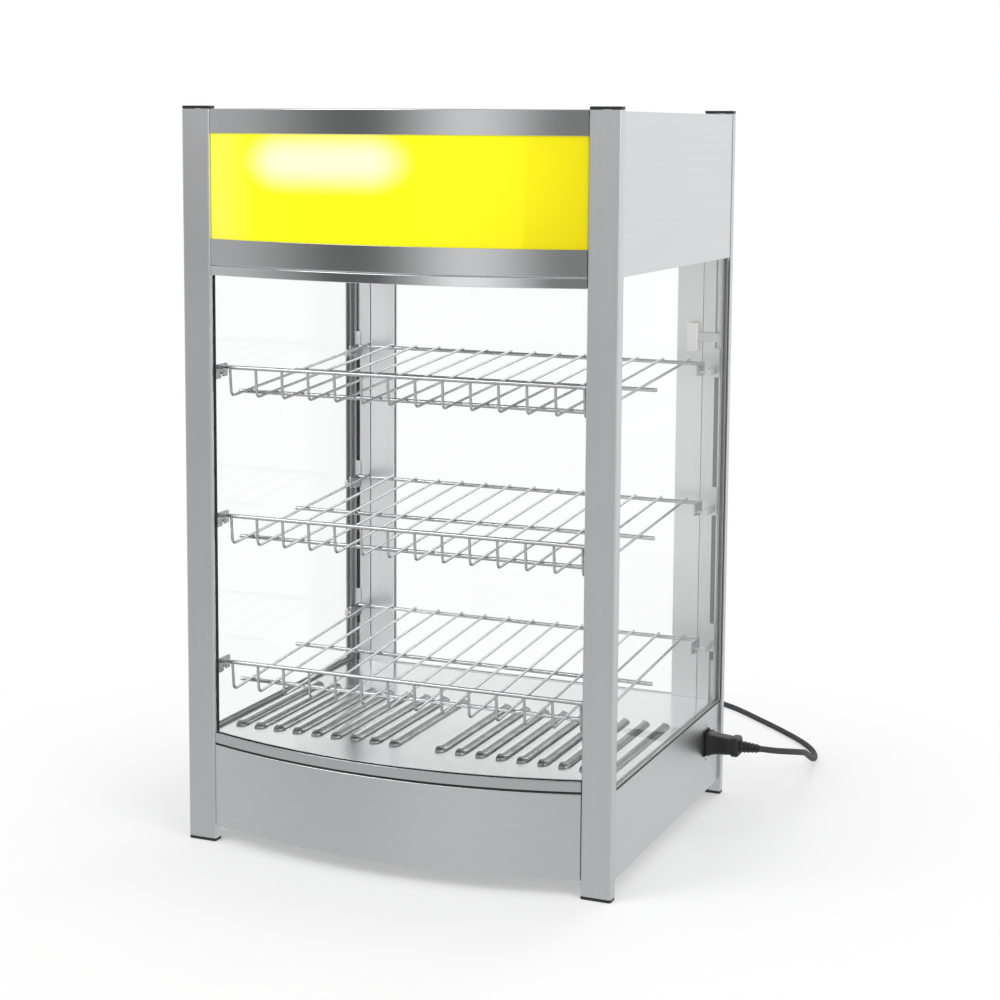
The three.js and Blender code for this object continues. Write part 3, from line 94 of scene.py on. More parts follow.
# Bow front.
FRONT_BULGE = 0.034
FRONT_STATIONS = 72
SHEET = 0.0012
FRONT_FLANGE = 0.014
CHANNEL_WALL = 0.0015
CHANNEL_DEPTH = 0.0075
SIGN_OFFSET = 0.0015
SIGN_THICKNESS = 0.003
PANE_OFFSET = 0.002
PANE_THICKNESS = 0.005
PLINTH_SEAL_INSET = 0.0005
PLINTH_SEAL_WIDTH = 0.008
FOLD_RADIUS = 0.0014

# Louvred deck.
DECK_TOP = 0.1117
DECK_THICKNESS = 0.001
DECK_FRONT_OFFSET = 0.0093
DECK_APRON = 0.025
DECK_LIP_GAP = 0.0003
LOUVRE_COUNT = 9
LOUVRE_PITCH = 0.02335
LOUVRE_CENTRE_GAP = 0.054
LOUVRE_WIDTH = 0.0115
LOUVRE_RISE = 0.0045
LOUVRE_SHEAR = 0.0005
LOUVRE_FRONT = -0.132
LOUVRE_BACK = 0.064
LOUVRE_STEPS = 7
LOUVRE_ENDS = ((LOUVRE_FRONT + LOUVRE_WIDTH, -math.pi / 2), (LOUVRE_BACK - LOUVRE_WIDTH, 0.0))

# Wire racks.
RACK_TILT = math.radians(4.4)
RACK_PLANES = {"upper_rack": 0.482, "middle_rack": 0.322, "lower_rack": 0.162}
WIRE_COUNT = 14
WIRE_PITCH = 0.0308
WIRE_BEND = 0.006
RAIL_OVERHANG = 0.015
RACK_LIP = 0.031
FRONT_RAIL_Y = -0.171
BACK_RAIL_Y = 0.161
WIRE_BACK_OVERHANG = 0.003
CROSS_BAR_SHARES = (0.13, 0.515)
RAIL_BITE = 0.0004
HOOK_THICKNESS = 0.002
HOOK_FRONT = 0.0065
HOOK_BACK = 0.021
HOOK_DROP = 0.0135
HOOK_SHORT_DROP = 0.012
HOOK_NOTCH_INSET = 0.01
HOOK_NOTCH_WIDTH = 0.0045
HOOK_NOTCH_TOP = 0.0064
HOOK_CORNER = 0.002
HOOK_EDGE_SHARE = 0.8
WELD_SIDES = 10
WELD_FULLNESS = 1.02
WELD_UPPER_SHARE = 0.75
WELD_LOWER_SHARE = 0.55

# Hangers in the post slots.
PIN_RADIUS = 0.0015
PIN_SIDES = 16
PIN_GAP = 0.0003
HANGER_STRIP = 0.0014
HANGER_HALF_WIDTH = 0.004
HANGER_PLATE = 0.0012
HANGER_PLATE_RISE = 0.024
HANGER_PLATE_FALL = 0.009
HANGER_ARM_HALF = 0.002
HANGER_ARM_HALF_HEIGHT = 0.004
HANGER_CORNER = 0.0015

# A black bead down the middle of a seal's rear band and along its sill: the seal's real groove,
# with its shade painted black.
BEAD_INSET = 0.003
BEAD_SILL_RISE = 0.001
BEAD_RADIUS = 0.0012
BEAD_SIDES = 10

# Dark beads along the bow glass's upright edges.
EDGE_SEAL_RADIUS = 0.0012
EDGE_SEAL_SIDES = 12

# Door catch: a block on an arm from the post.
CATCH_ARM = 0.0015
CATCH_ARM_HALF_HEIGHT = 0.005
CATCH_BLOCK_WIDTH = 0.012
CATCH_FOOT_WIDTH = 0.02
CATCH_GAP = 0.0021
CATCH_CORNER = 0.002

# Mains inlet: its flange on the panel and its body behind.
INLET_FLANGE = 0.0016
INLET_HALF_HEIGHT = 0.0155
INLET_CORNER = 0.005
INLET_BODY_INSET = 0.0015

# Door handle, knob and dial.
HANDLE_RADIUS = 0.005
HANDLE_SIDES = 32
HANDLE_FOOT_SIDES = 40
HANDLE_BEND = 0.012
HANDLE_BEND_STEPS = 8
HANDLE_FOOT_RADIUS = 0.0075
HANDLE_FOOT_HEIGHT = 0.002
HANDLE_FOOT_EDGE = 0.0007
KNOB_FLUTES = 20
KNOB_FLUTE_DEPTH = 0.0007
KNOB_SKIRT = 0.003
KNOB_CHAMFER = 0.001
KNOB_GRIP_RADIUS = 0.014
KNOB_CROWN_RADIUS = 0.0125
KNOB_SIDES = 120
POINTER_HALF_WIDTH = 0.0008
POINTER_INSET = 0.0065
DIAL_TICKS = 11
DIAL_SWEEP = math.radians(270)
DIAL_TICK_START = 0.021
DIAL_TICK_END = 0.0245
DIAL_TICK_HALF_WIDTH = 0.0004
MARK_HEIGHT = 0.0002
MARK_SINK = 0.0004

# Screw heads, and a y behind the whole case from which their places are looked for.
BEHIND = 1.0
SCREW_RADIUS = 0.0034
SCREW_RISE = 0.0015
SCREW_SIDES = 48
SCREW_STEPS = 5
SCREW_CROSS_SHARE = 0.6
HINGE_SCREW_SHARE = 0.25
HINGE_SCREW_RISES = (0.22, 0.78)
PANEL_SCREW_DROP = 0.006
PANEL_SCREW_SHARES = (0.03, 0.35, 0.65, 0.97)

# Marks on the rocker.
ROCKER_RING_SHARE = 0.25
ROCKER_RING_RADIUS = 0.0026
ROCKER_RING_SIDES = 32
ROCKER_LINE = 0.0008

# Cord set.
CORD_DIAMETER = 0.007
COIL_CENTRE = (0.008, 0.3)
COIL_OUTER_RADIUS = 0.046
COIL_RADIAL_PITCH = 0.0076
COIL_LAYER_PITCH = 0.0075
COIL_BOTTOM_Z = 0.0051
COIL_TURNS = 4.5
COIL_STEPS = 48
COIL_CLIMB = 0.5
COIL_LEAD = 0.008
COIL_TAIL = 0.03
ROUTE_STEPS = 6
PLUG_RELIEF_LENGTH = 0.025
PLUG_TAPER = 0.007
PLUG_CORNER = 0.006
PLUG_CORNER_STEPS = 6
PLUG_PIN_X = 0.0111
PLUG_PIN_Y = 0.016
PLUG_EARTH_PITCH = 0.0222
PLUG_STEP_SHARE = 2 / 3
PLUG_FOOT_SHARE = 0.94
PLUG_FOOT_INSET = 0.0012
PLUG_FOOT_EDGE = 0.0022
PLUG_RIM_EDGE = 0.0009
PLUG_FOOT_STEPS = 4
PLUG_EDGE_STEPS = 3
PLUG_BLADE = (0.0063, 0.004)
PLUG_EARTH_BLADE = (0.004, 0.008)
PLUG_EARTH_EXTRA = 0.005
PLUG_PIN_EDGE = 0.0006
TIE_EDGE = 0.0003
RELIEF_SIDES = 28
RELIEF_RIB_SHARES = (0.05, 0.45)
RELIEF_GROOVE_SHARES = (0.55, 0.95)
RELIEF_RIBS = 5
RELIEF_ROOT_RADIUS = 0.007
RELIEF_TIP_RADIUS = 0.005
RELIEF_GROOVE = 0.001
CONNECTOR_LENGTH = 0.0377
RELIEF_LENGTH = 0.0223
CONNECTOR_CORNER = 0.004
NOSE_SHARE = 0.86
GRIP_RIBS = 5
GRIP_RADIUS = 0.0007
GRIP_SIDES = 8
GRIP_SHARES = (0.3, 0.62)
GRIP_WIDTH_SHARE = 0.9
GRIP_HEIGHT_SHARE = 0.5

# The connector's sections from the panel to its relief: how far along it, and its shares of the
# full width and height.
CONNECTOR_SECTIONS = (
    (0.0, 0.97, 0.97), (0.02, 1.0, 1.0), (0.09, 1.0, 1.0), (0.12, 0.97, 0.95), (0.16, 0.94, 0.88),
    (0.3, 0.91, 0.8), (0.62, 0.9, 0.74), (0.74, 0.86, 0.7), (0.77, 0.92, 0.78), (0.8, 0.95, 0.82),
    (0.93, 0.95, 0.82), (0.97, 0.9, 0.78), (1.0, 0.8, 0.68),
)

# The cord's free run from the connector to the coil: points on its centreline.
CORD_ROUTE = (
    (0.3036, 0.132, 0.076),
    (0.312, 0.132, 0.076),
    (0.321, 0.1335, 0.0756),
    (0.330, 0.1385, 0.0746),
    (0.337, 0.1465, 0.0728),
    (0.341, 0.157, 0.070),
    (0.342, 0.169, 0.0665),
    (0.341, 0.184, 0.062),
    (0.3385, 0.203, 0.0557),
    (0.3345, 0.226, 0.0475),
    (0.330, 0.252, 0.038),
    (0.3255, 0.280, 0.0275),
    (0.321, 0.308, 0.0175),
    (0.317, 0.334, 0.0095),
    (0.312, 0.358, 0.005),
    (0.304, 0.380, 0.0038),
    (0.292, 0.400, 0.0038),
    (0.275, 0.421, 0.0038),
    (0.252, 0.445, 0.0038),
    (0.227, 0.469, 0.0038),
    (0.203, 0.491, 0.0038),
    (0.179, 0.513, 0.0038),
    (0.157, 0.531, 0.0038),
    (0.135, 0.544, 0.0038),
    (0.112, 0.549, 0.0038),
    (0.090, 0.545, 0.0038),
    (0.072, 0.532, 0.0038),
    (0.060, 0.512, 0.0038),
    (0.0545, 0.486, 0.0038),
    (0.054, 0.456, 0.0038),
    (0.054, 0.420, 0.004),
    (0.054, 0.384, 0.0044),
    (0.054, 0.348, 0.0049),
    (0.054, 0.318, 0.0051),
)

# The bow front's arc, from the header rail's box.
ARC_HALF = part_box("header_upper_rail")[1].x
ARC_RADIUS = (ARC_HALF ** 2 + FRONT_BULGE ** 2) / (2 * FRONT_BULGE)
ARC_CENTRE_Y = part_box("header_upper_rail")[0].y + ARC_RADIUS

# Camera: place in metres, turn in radians.
CAMERA_PLACE = (0.9052, -2.0785, 0.76615)
CAMERA_YAW = 0.3952
CAMERA_PITCH = -0.1197
CAMERA_ROLL = 0.007
CAMERA_LENS = 74.62
CAMERA_SENSOR = 36.0
CAMERA_SHIFT = -0.12

# The lamp's painted glow on the sign, an emission colour and not light from the lamp: how far its
# middle lies from the lamp's, its share of the lamp, and how far it reaches.
GLOW_SHIFT = 0.03
GLOW_SPAN_SHARE = 0.5
GLOW_RISE = 0.007
GLOW_SQUEEZE = 1.6
GLOW_NEAR = 0.006
GLOW_FAR = 0.058

# The sign's colours and where they begin and end: painted shade that deepens the yellow and dims
# the painted glow far from the lamp, painted shadow past the lamp's holder where the glow stops,
# and paler at the left end.
SIGN_PAINTED_FALLOFF_START = 0.09
SIGN_PAINTED_FALLOFF_END = 0.29
SIGN_PAINTED_FALLOFF_SHARE = 0.86
HOLDER_SHADE_START = 0.146
HOLDER_SHADE_END = 0.152
SIGN_PALE_START = -0.21
SIGN_PALE_END = -0.14
SIGN_PALE_SHARE = 0.35
SIGN_PALE = (0.74, 0.66, 0.22, 1)
# Emission colours of the painted glow: its lit yellow, its glow over the lamp and its dim far part.
SIGN_LIT = (0.2, 0.3, 0.008, 1)
SIGN_GLOW = (0.34, 0.46, 0.68, 1)
SIGN_DIM = (0.12, 0.12, 0.006, 1)

# Looks: how far brushed grain is drawn out, the broad streaks' share of its tone, how smooth the
# smoothest spots are against the rest, how far moulded roughness varies, the pane glass, and how
# level a hood's face is where its painted highlight on the level top begins and ends.
GRAIN_STRETCH = 40.0
BROAD_SHARE = 0.6
SMOOTH_SHARE = 0.7
MOULD_SPREAD = 0.15
PANE_SMEAR = 0.012
PANE_IOR = 1.16
LOUVRE_HIGHLIGHT_START = 0.985
LOUVRE_HIGHLIGHT_END = 0.996

# Lamps: name, place, what they are aimed at, side and power.
LAMPS = (
    ("Key lamp", (-2.0, -2.6, 2.8), (0, 0, 0.4), 1.8, 46.0),
    ("Fill lamp", (2.8, -1.6, 1.9), (0, 0, 0.4), 1.8, 26.0),
    ("Back lamp", (0.6, 2.8, 2.6), (0, 0, 0.5), 1.6, 20.0),
)

# Stage: the floor turns white between these distances, from its least share of white up. Metal
# mirrors a tone for each direction in degrees from the front towards the right, which gives way
# to the floor's tone between these heights below the level line.
FLOOR_FADE_START = 0.28
FLOOR_FADE_END = 0.8
FLOOR_LEAST_WHITE = 0.25
WORLD_BACK_TONE = 1.0
WORLD_TONES = (
    (-120, 0.9), (-75, 0.64), (-58, 0.58), (-46, 0.36), (-36, 0.14), (-26, 0.14), (-18, 0.5),
    (-10, 1.0), (-4, 1.0), (3, 0.66), (9, 0.26), (16, 0.24), (34, 0.45), (60, 0.75), (110, 1.05),
    (160, 1.1),
)
FLOOR_TONE = 0.74
HORIZON_LOW = -0.27
HORIZON_HIGH = -0.12

# Ways to turn a level outline so that its height runs along another axis.
ALONG = {
    "x": Matrix(((0, 0, 1, 0), (1, 0, 0, 0), (0, 1, 0, 0), (0, 0, 0, 1))),
    "y": Matrix(((1, 0, 0, 0), (0, 0, 1, 0), (0, 1, 0, 0), (0, 0, 0, 1))),
    "z": Matrix.Identity(4),
}


# Outlines.

def arc(centre, start, end, steps):
    """Points round centre from its start arm to its end arm."""
    turn = start.angle(end)
    points = []
    for step in range(steps + 1):
        low = math.sin((1 - step / steps) * turn) / math.sin(turn)
        high = math.sin(step / steps * turn) / math.sin(turn)
        points.append(centre + start * low + end * high)
    return points


def rounded(points, radii, steps=4):
    """The outline with each corner turned into an arc of its radius."""
    result = []
    count = len(points)
    for index, radius in enumerate(radii):
        corner = Vector(points[index])
        before = (Vector(points[index - 1]) - corner).normalized()
        after = (Vector(points[(index + 1) % count]) - corner).normalized()
        half = before.angle(after) / 2
        if radius == 0 or half > STRAIGHT_HALF:
            result.append(corner)
            continue
        reach = radius / math.tan(half)
        centre = corner + (before + after).normalized() * (radius / math.sin(half))
        start = corner + before * reach - centre
        end = corner + after * reach - centre
        result.extend(arc(centre, start, end, steps))
    return result


def rectangle(left, right, low, high):
    """The corners of a rectangle, anticlockwise."""
    return [(left, low), (right, low), (right, high), (left, high)]


def soft_rectangle(left, right, low, high, corner, steps=4):
    """A rectangle whose four corners are round."""
    return rounded(rectangle(left, right, low, high), [corner] * 4, steps)


def full_turn(sides):
    """The angles of a ring's sides."""
    return [2 * math.pi * side / sides for side in range(sides)]


def part_way(start, end, share):
    """The point at the share of the way from start to end, or past it."""
    return start + (end - start) * share


def smooth_path(points, steps):
    """A smooth path through the points, with steps parts between each pair."""
    points = [Vector(point) for point in points]
    padded = [2 * points[0] - points[1], *points, 2 * points[-1] - points[-2]]
    path = []
    for a, b, c, d in zip(padded, padded[1:], padded[2:], padded[3:]):
        first = math.sqrt((b - a).length)
        second = first + math.sqrt((c - b).length)
        third = second + math.sqrt((d - c).length)
        for step in range(steps):
            t = first + (second - first) * step / steps
            ab = part_way(a, b, t / first)
            bc = part_way(b, c, (t - first) / (second - first))
            cd = part_way(c, d, (t - second) / (third - second))
            early = part_way(ab, bc, t / second)
            late = part_way(bc, cd, (t - first) / (third - first))
            path.append(part_way(early, late, (t - first) / (second - first)))
    path.append(points[-1])
    return path


def bent_path(points, radius, steps):
    """The straight path through the points, with an arc at each inner corner."""
    points = [Vector(point) for point in points]
    path = [points[0]]
    for before, corner, after in zip(points, points[1:], points[2:]):
        back = (before - corner).normalized()
        forth = (after - corner).normalized()
        half = back.angle(forth) / 2
        centre = corner + (back + forth).normalized() * (radius / math.sin(half))
        start = corner + back * (radius / math.tan(half)) - centre
        end = corner + forth * (radius / math.tan(half)) - centre
        path.extend(arc(centre, start, end, steps))
    return path + [points[-1]]


# Meshes.

def add_ring(bm, centre, across, up, radius, sides):
    """A ring of vertices round centre."""
    return [
        bm.verts.new(centre + across * (radius * math.cos(t)) + up * (radius * math.sin(t)))
        for t in full_turn(sides)
    ]


def join_rings(bm, rings):
    """Walls between the rings and a face on each end."""
    for low, high in zip(rings, rings[1:]):
        for index in range(len(low)):
            after = (index + 1) % len(low)
            bm.faces.new((low[index], low[after], high[after], high[index]))
    bm.faces.new(reversed(rings[0]))
    bm.faces.new(rings[-1])


def add_tube(bm, points, radius, sides, end_steps=0):
    """A round tube along the points; with end_steps its ends are domes."""
    points = [Vector(point) for point in points]
    tangents = [
        (points[min(i + 1, len(points) - 1)] - points[max(i - 1, 0)]).normalized()
        for i in range(len(points))
    ]
    across = tangents[0].orthogonal().normalized()
    stations = []
    for point, tangent in zip(points, tangents):
        across = (across - tangent * across.dot(tangent)).normalized()
        stations.append((point, tangent, across, radius))
    if end_steps:
        stations = [
            *dome(stations[0], end_steps, -1), *stations[1:-1], *dome(stations[-1], end_steps, 1)
        ]
    rings = [
        add_ring(bm, point, across, tangent.cross(across), size, sides)
        for point, tangent, across, size in stations
    ]
    join_rings(bm, rings)


def dome(station, steps, way):
    """Stations that close a tube's end with a dome inside its length."""
    point, tangent, across, radius = station
    result = []
    for step in range(steps):
        angle = math.pi / 2 * step / steps
        back = radius * (1 - math.sin(angle))
        result.append((point - tangent * back * way, tangent, across, radius * math.cos(angle)))
    return result[::way]


def add_lathe(bm, profile, place, sides, flute=None):
    """The profile of (radius, height) turned round the place's z axis."""
    rings = []
    for radius, height in profile:
        ring = []
        for angle in full_turn(sides):
            size = flute(radius, height, angle) if flute else radius
            point = Vector((size * math.cos(angle), size * math.sin(angle), height))
            ring.append(bm.verts.new(place @ point))
        rings.append(ring)
    join_rings(bm, rings)


def add_plate(bm, outlines, low, high, edge=0.0, along="z", steps=2):
    """A plate between low and high: the first outline is its rim and the others are holes."""
    part = bmesh.new()
    rim = []
    for outline in outlines:
        verts = [part.verts.new((point[0], point[1], low)) for point in outline]
        rim += [part.edges.new((verts[i - 1], verts[i])) for i in range(len(verts))]
    bmesh.ops.triangle_fill(part, use_beauty=True, edges=rim)
    bmesh.ops.dissolve_limit(
        part, angle_limit=PLATE_FLATNESS, verts=part.verts[:], edges=part.edges[:]
    )
    raised = bmesh.ops.extrude_face_region(part, geom=part.faces[:])["geom"]
    verts = [item for item in raised if isinstance(item, bmesh.types.BMVert)]
    bmesh.ops.translate(part, verts=verts, vec=(0, 0, high - low))
    bmesh.ops.recalc_face_normals(part, faces=part.faces[:])
    if edge:
        round_edges(part, edge, steps)
    part.transform(ALONG[along])
    bmesh.ops.recalc_face_normals(part, faces=part.faces[:])
    add_part(bm, part)


def add_part(bm, part):
    """Adds the part's faces to bm and frees the part."""
    mesh = bpy.data.meshes.new("part")
    part.to_mesh(mesh)
    part.free()
    bm.from_mesh(mesh)
    bpy.data.meshes.remove(mesh)


def round_edges(bm, size, steps=2):
    """Rounds every edge whose faces fold by more than a limit."""
    edges = [e for e in bm.edges if e.is_manifold and e.calc_face_angle() > ROUNDED_FOLD]
    bmesh.ops.bevel(
        bm, geom=edges, offset=size, segments=steps, profile=0.5,
        affect="EDGES", clamp_overlap=True,
    )


def front_y(x, offset):
    """The y of the bow front at x, offset inwards along its radius."""
    return ARC_CENTRE_Y - math.sqrt((ARC_RADIUS - offset) ** 2 - x ** 2)


def add_band(bm, profile, half):
    """A profile of (offset, z) swept along the bow front."""
    rings = []
    for station in range(FRONT_STATIONS + 1):
        x = half * (2 * station / FRONT_STATIONS - 1)
        rings.append([bm.verts.new((x, front_y(x, offset), z)) for offset, z in profile])
    join_rings(bm, rings)


# Pieces.

def make_piece(bm, name, body, look, nodes=()):
    """Turns bm into an object that rides on the body and stands for the nodes."""
    bmesh.ops.recalc_face_normals(bm, faces=bm.faces[:])
    mesh = bpy.data.meshes.new(name)
    bm.to_mesh(mesh)
    bm.free()
    mesh.shade_smooth()
    mesh.set_sharp_from_angle(angle=CREASE)
    mesh.materials.append(find_look(look))
    piece = bpy.data.objects.new(name, mesh)
    bpy.context.scene.collection.objects.link(piece)
    weights = piece.modifiers.new("Even shading", "WEIGHTED_NORMAL")
    weights.keep_sharp = True
    weights.weight = SHADING_WEIGHT
    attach(piece, body)
    if nodes:
        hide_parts(*nodes)
    return piece


def dress_node(node, look, rounding):
    """Makes the node's piece: its own shape with welded faces and rounded edges."""
    source = frame["nodes"].get(node)
    if source is None:
        raise ValueError("the frame has no node named " + node)
    bm = bmesh.new()
    bm.from_mesh(source.data)
    bmesh.ops.remove_doubles(bm, verts=bm.verts[:], dist=MERGE_DISTANCE)
    bmesh.ops.dissolve_limit(
        bm, angle_limit=NODE_FLATNESS, verts=bm.verts[:], edges=bm.edges[:]
    )
    if rounding:
        round_edges(bm, rounding)
    return make_piece(bm, node + "_piece", source["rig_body"], look, [node])


# Looks. Each is a material with its own grain, tone and wear.

class NodeTree:
    """A material's or world's nodes, with short ways to add and link them."""

    def __init__(self, owner, output):
        owner.use_nodes = True
        self.owner = owner
        self.nodes = owner.node_tree.nodes
        self.links = owner.node_tree.links
        self.nodes.clear()
        self.output = self.nodes.new(output)

    def add(self, kind, inputs=None, **settings):
        """Adds a node, links or sets its inputs by name or place, and gives it back."""
        node = self.nodes.new(kind)
        for key, value in settings.items():
            setattr(node, key, value)
        for key, value in (inputs or {}).items():
            if isinstance(value, bpy.types.NodeSocket):
                self.links.new(value, node.inputs[key])
            else:
                node.inputs[key].default_value = value
        return node

    def finish(self, socket):
        """Links the socket to the output's surface."""
        self.links.new(socket, self.output.inputs["Surface"])
        return self.owner

    def math(self, operation, *values):
        """A Math node's result."""
        inputs = dict(enumerate(values))
        return self.add("ShaderNodeMath", inputs, operation=operation).outputs[0]

    def place(self, scale=(1, 1, 1)):
        """Object coordinates, scaled."""
        coordinates = self.add("ShaderNodeTexCoord").outputs["Object"]
        mapping = self.add("ShaderNodeMapping", {"Vector": coordinates, "Scale": scale})
        return mapping.outputs["Vector"]

    def noise(self, scale, stretch=(1, 1, 1), detail=3.0):
        """Noise of about even brightness round a half."""
        inputs = {"Vector": self.place(stretch), "Scale": scale, "Detail": detail}
        return self.add("ShaderNodeTexNoise", inputs).outputs["Fac"]

    def between(self, factor, low, high, start=0.0, end=1.0, kind="LINEAR"):
        """The factor, from start to end, spread from low to high."""
        inputs = {
            "Value": factor, "From Min": start, "From Max": end, "To Min": low, "To Max": high,
        }
        return self.add("ShaderNodeMapRange", inputs, interpolation_type=kind).outputs["Result"]

    def ease(self, factor, start, end, low=0.0, high=1.0):
        """The factor spread from low to high with a soft start and end."""
        return self.between(factor, low, high, start, end, "SMOOTHSTEP")

    def seen(self, path):
        """One for what the camera sees, straight or through glass."""
        outputs = path.outputs
        return self.math("MAXIMUM", outputs["Is Camera Ray"], outputs["Is Transmission Ray"])

    def tint(self, factor, first, second):
        """A mix of two colours."""
        node = self.add("ShaderNodeMix", {"Factor": factor}, data_type="RGBA")
        for socket, value in ((node.inputs[6], first), (node.inputs[7], second)):
            if isinstance(value, bpy.types.NodeSocket):
                self.links.new(value, socket)
            else:
                socket.default_value = value
        return node.outputs[2]

    def bump(self, height, distance, strength=1.0, normal=None):
        """A bump's normal; distance is the height in metres."""
        inputs = {"Height": height, "Distance": distance, "Strength": strength}
        if normal:
            inputs["Normal"] = normal
        return self.add("ShaderNodeBump", inputs).outputs["Normal"]


def grey(level, warm=0.0):
    """A colour of the level, a little warmer or cooler."""
    return (level * (1 + warm), level, level * (1 - warm), 1)


def new_look(name):
    """An empty material's node tree."""
    return NodeTree(bpy.data.materials.new(name), "ShaderNodeOutputMaterial")


def brushed_look(name, level, grain, roughness, warm=-0.01, streak=0.05, depth=6e-6):
    """Brushed metal whose grain runs along the axis named by grain."""
    tree = new_look(name)
    run = {axis: GRAIN_STRETCH for axis in "xyz"}
    run[grain] = 1.0
    stretch = (run["x"], run["y"], run["z"])
    fine = tree.noise(30.0, stretch, 4.0)
    broad = tree.noise(6.0, stretch, 2.0)
    cloud = tree.noise(7.0)
    broad = tree.math("MULTIPLY", broad, BROAD_SHARE)
    shade = tree.math("ADD", broad, tree.math("MULTIPLY", cloud, 1 - BROAD_SHARE))
    colour = tree.tint(shade, grey(level * (1 - streak), warm), grey(level * (1 + streak), warm))
    rough = tree.between(tree.math("ADD", fine, cloud), roughness * SMOOTH_SHARE, roughness)
    shader = tree.add("ShaderNodeBsdfPrincipled", {
        "Base Color": colour, "Metallic": 1.0, "Roughness": rough,
        "Normal": tree.bump(fine, depth),
    })
    return tree.finish(shader.outputs[0])


def moulded_look(name, colour, roughness, speck=0.25, grain=2500.0, depth=1.5e-5, coat=0.0):
    """Moulded plastic or rubber: fine texture, slight clouding and dust."""
    tree = new_look(name)
    fine = tree.noise(grain, detail=2.0)
    cloud = tree.noise(35.0)
    low = tuple(c * (1 - speck) for c in colour[:3]) + (1,)
    high = tuple(min(1.0, c * (1 + speck)) for c in colour[:3]) + (1,)
    shader = tree.add("ShaderNodeBsdfPrincipled", {
        "Base Color": tree.tint(cloud, low, high),
        "Roughness": tree.between(
            cloud, roughness * (1 - MOULD_SPREAD), min(1.0, roughness * (1 + MOULD_SPREAD))
        ),
        "Coat Weight": coat,
        "Normal": tree.bump(fine, depth),
    })
    return tree.finish(shader.outputs[0])


def glass_look(name, tint):
    """Clear pane glass that lets lamps through, with faint smears in its polish."""
    tree = new_look(name)
    smear = tree.noise(4.0, (1, 1, 0.3), 4.0)
    pane = tree.add("ShaderNodeBsdfPrincipled", {
        "Base Color": tint, "IOR": PANE_IOR, "Transmission Weight": 1.0,
        "Roughness": tree.between(smear, 0.0, PANE_SMEAR),
    })
    clear = tree.add("ShaderNodeBsdfTransparent", {"Color": tint})
    path = tree.add("ShaderNodeLightPath")
    passing = tree.math("MAXIMUM", path.outputs["Is Shadow Ray"], path.outputs["Is Diffuse Ray"])
    mix = tree.add("ShaderNodeMixShader", {0: passing, 1: pane.outputs[0], 2: clear.outputs[0]})
    return tree.finish(mix.outputs[0])


def sign_look(name):
    """Yellow sheet with painted light and no light from the lamp: an emission colour painted white
    over the lamp and fading from it, and painted shade that deepens the yellow far from it.
    """
    tree = new_look(name)
    colours = bpy.context.scene.case_colours
    low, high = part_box("lamp_tube")
    middle = (low + high) / 2
    half = (high.x - low.x) / 2
    split = tree.add("ShaderNodeSeparateXYZ", {0: tree.place()})
    past = tree.math("SUBTRACT", tree.math("ABSOLUTE", tree.math(
        "SUBTRACT", split.outputs["X"], middle.x + GLOW_SHIFT)), half * GLOW_SPAN_SHARE)
    past = tree.math("MAXIMUM", past, 0.0)
    above = tree.math("SUBTRACT", split.outputs["Z"], middle.z + GLOW_RISE)
    rise = tree.math("MULTIPLY", above, GLOW_SQUEEZE)
    reach = tree.math("SQRT", tree.math(
        "ADD", tree.math("MULTIPLY", past, past), tree.math("MULTIPLY", rise, rise)))
    # Painted glow: an emission colour strongest over the lamp and gone at GLOW_FAR.
    glow = tree.ease(reach, GLOW_NEAR, GLOW_FAR, 1.0, 0.0)
    far = tree.ease(reach, SIGN_PAINTED_FALLOFF_START, SIGN_PAINTED_FALLOFF_END)
    grain = tree.noise(900.0)
    yellow = tuple(colours.sign) + (1,)
    deep = tuple(c * SIGN_PAINTED_FALLOFF_SHARE for c in colours.sign) + (1,)
    # Painted shade: the yellow is painted deeper far from the lamp.
    base = tree.tint(tree.math("MULTIPLY", far, tree.noise(5.0)), yellow, deep)
    edge = tree.ease(split.outputs["X"], SIGN_PALE_START, SIGN_PALE_END, 1.0, 0.0)
    base = tree.tint(tree.math("MULTIPLY", edge, SIGN_PALE_SHARE), base, SIGN_PALE)
    near = tree.tint(glow, SIGN_LIT, SIGN_GLOW)
    # Painted shadow past the lamp's holder: the emission colour falls to black there.
    end = tree.ease(split.outputs["X"], HOLDER_SHADE_START, HOLDER_SHADE_END)
    dim = tree.tint(end, SIGN_DIM, grey(0.0))
    light = tree.tint(far, near, dim)
    shader = tree.add("ShaderNodeBsdfPrincipled", {
        "Base Color": base, "Roughness": tree.between(grain, 0.2, 0.3),
        "Specular IOR Level": 0.2,
        "Emission Color": light, "Emission Strength": 1.0,
        "Normal": tree.bump(grain, 1e-5),
    })
    return tree.finish(shader.outputs[0])


def louvre_look(name):
    """Pressed steel with painted light: a painted highlight on a hood's level top and painted shade
    down its side, set by the face's normal.
    """
    tree = new_look(name)
    normal = tree.add("ShaderNodeNewGeometry").outputs["Normal"]
    level = tree.add("ShaderNodeSeparateXYZ", {0: normal}).outputs["Z"]
    # Painted highlight where the face is level, painted shade where it slopes.
    top_highlight = tree.ease(level, LOUVRE_HIGHLIGHT_START, LOUVRE_HIGHLIGHT_END)
    cloud = tree.noise(60.0)
    side = tree.tint(cloud, grey(0.15), grey(0.3))
    shader = tree.add("ShaderNodeBsdfPrincipled", {
        "Base Color": tree.tint(top_highlight, side, grey(0.82)), "Metallic": 1.0,
        "Roughness": tree.between(cloud, 0.18, 0.28),
        "Normal": tree.bump(tree.noise(30.0, (40, 1, 40)), 4e-6),
    })
    return tree.finish(shader.outputs[0])


def lamp_look(name):
    """A fluorescent tube's coated glass, glowing a little unevenly."""
    tree = new_look(name)
    cloud = tree.noise(60.0)
    shader = tree.add("ShaderNodeBsdfPrincipled", {
        "Base Color": grey(0.9), "Roughness": 0.35,
        "Emission Color": (1.0, 0.97, 0.88, 1),
        "Emission Strength": tree.between(cloud, 1.6, 2.0),
    })
    return tree.finish(shader.outputs[0])


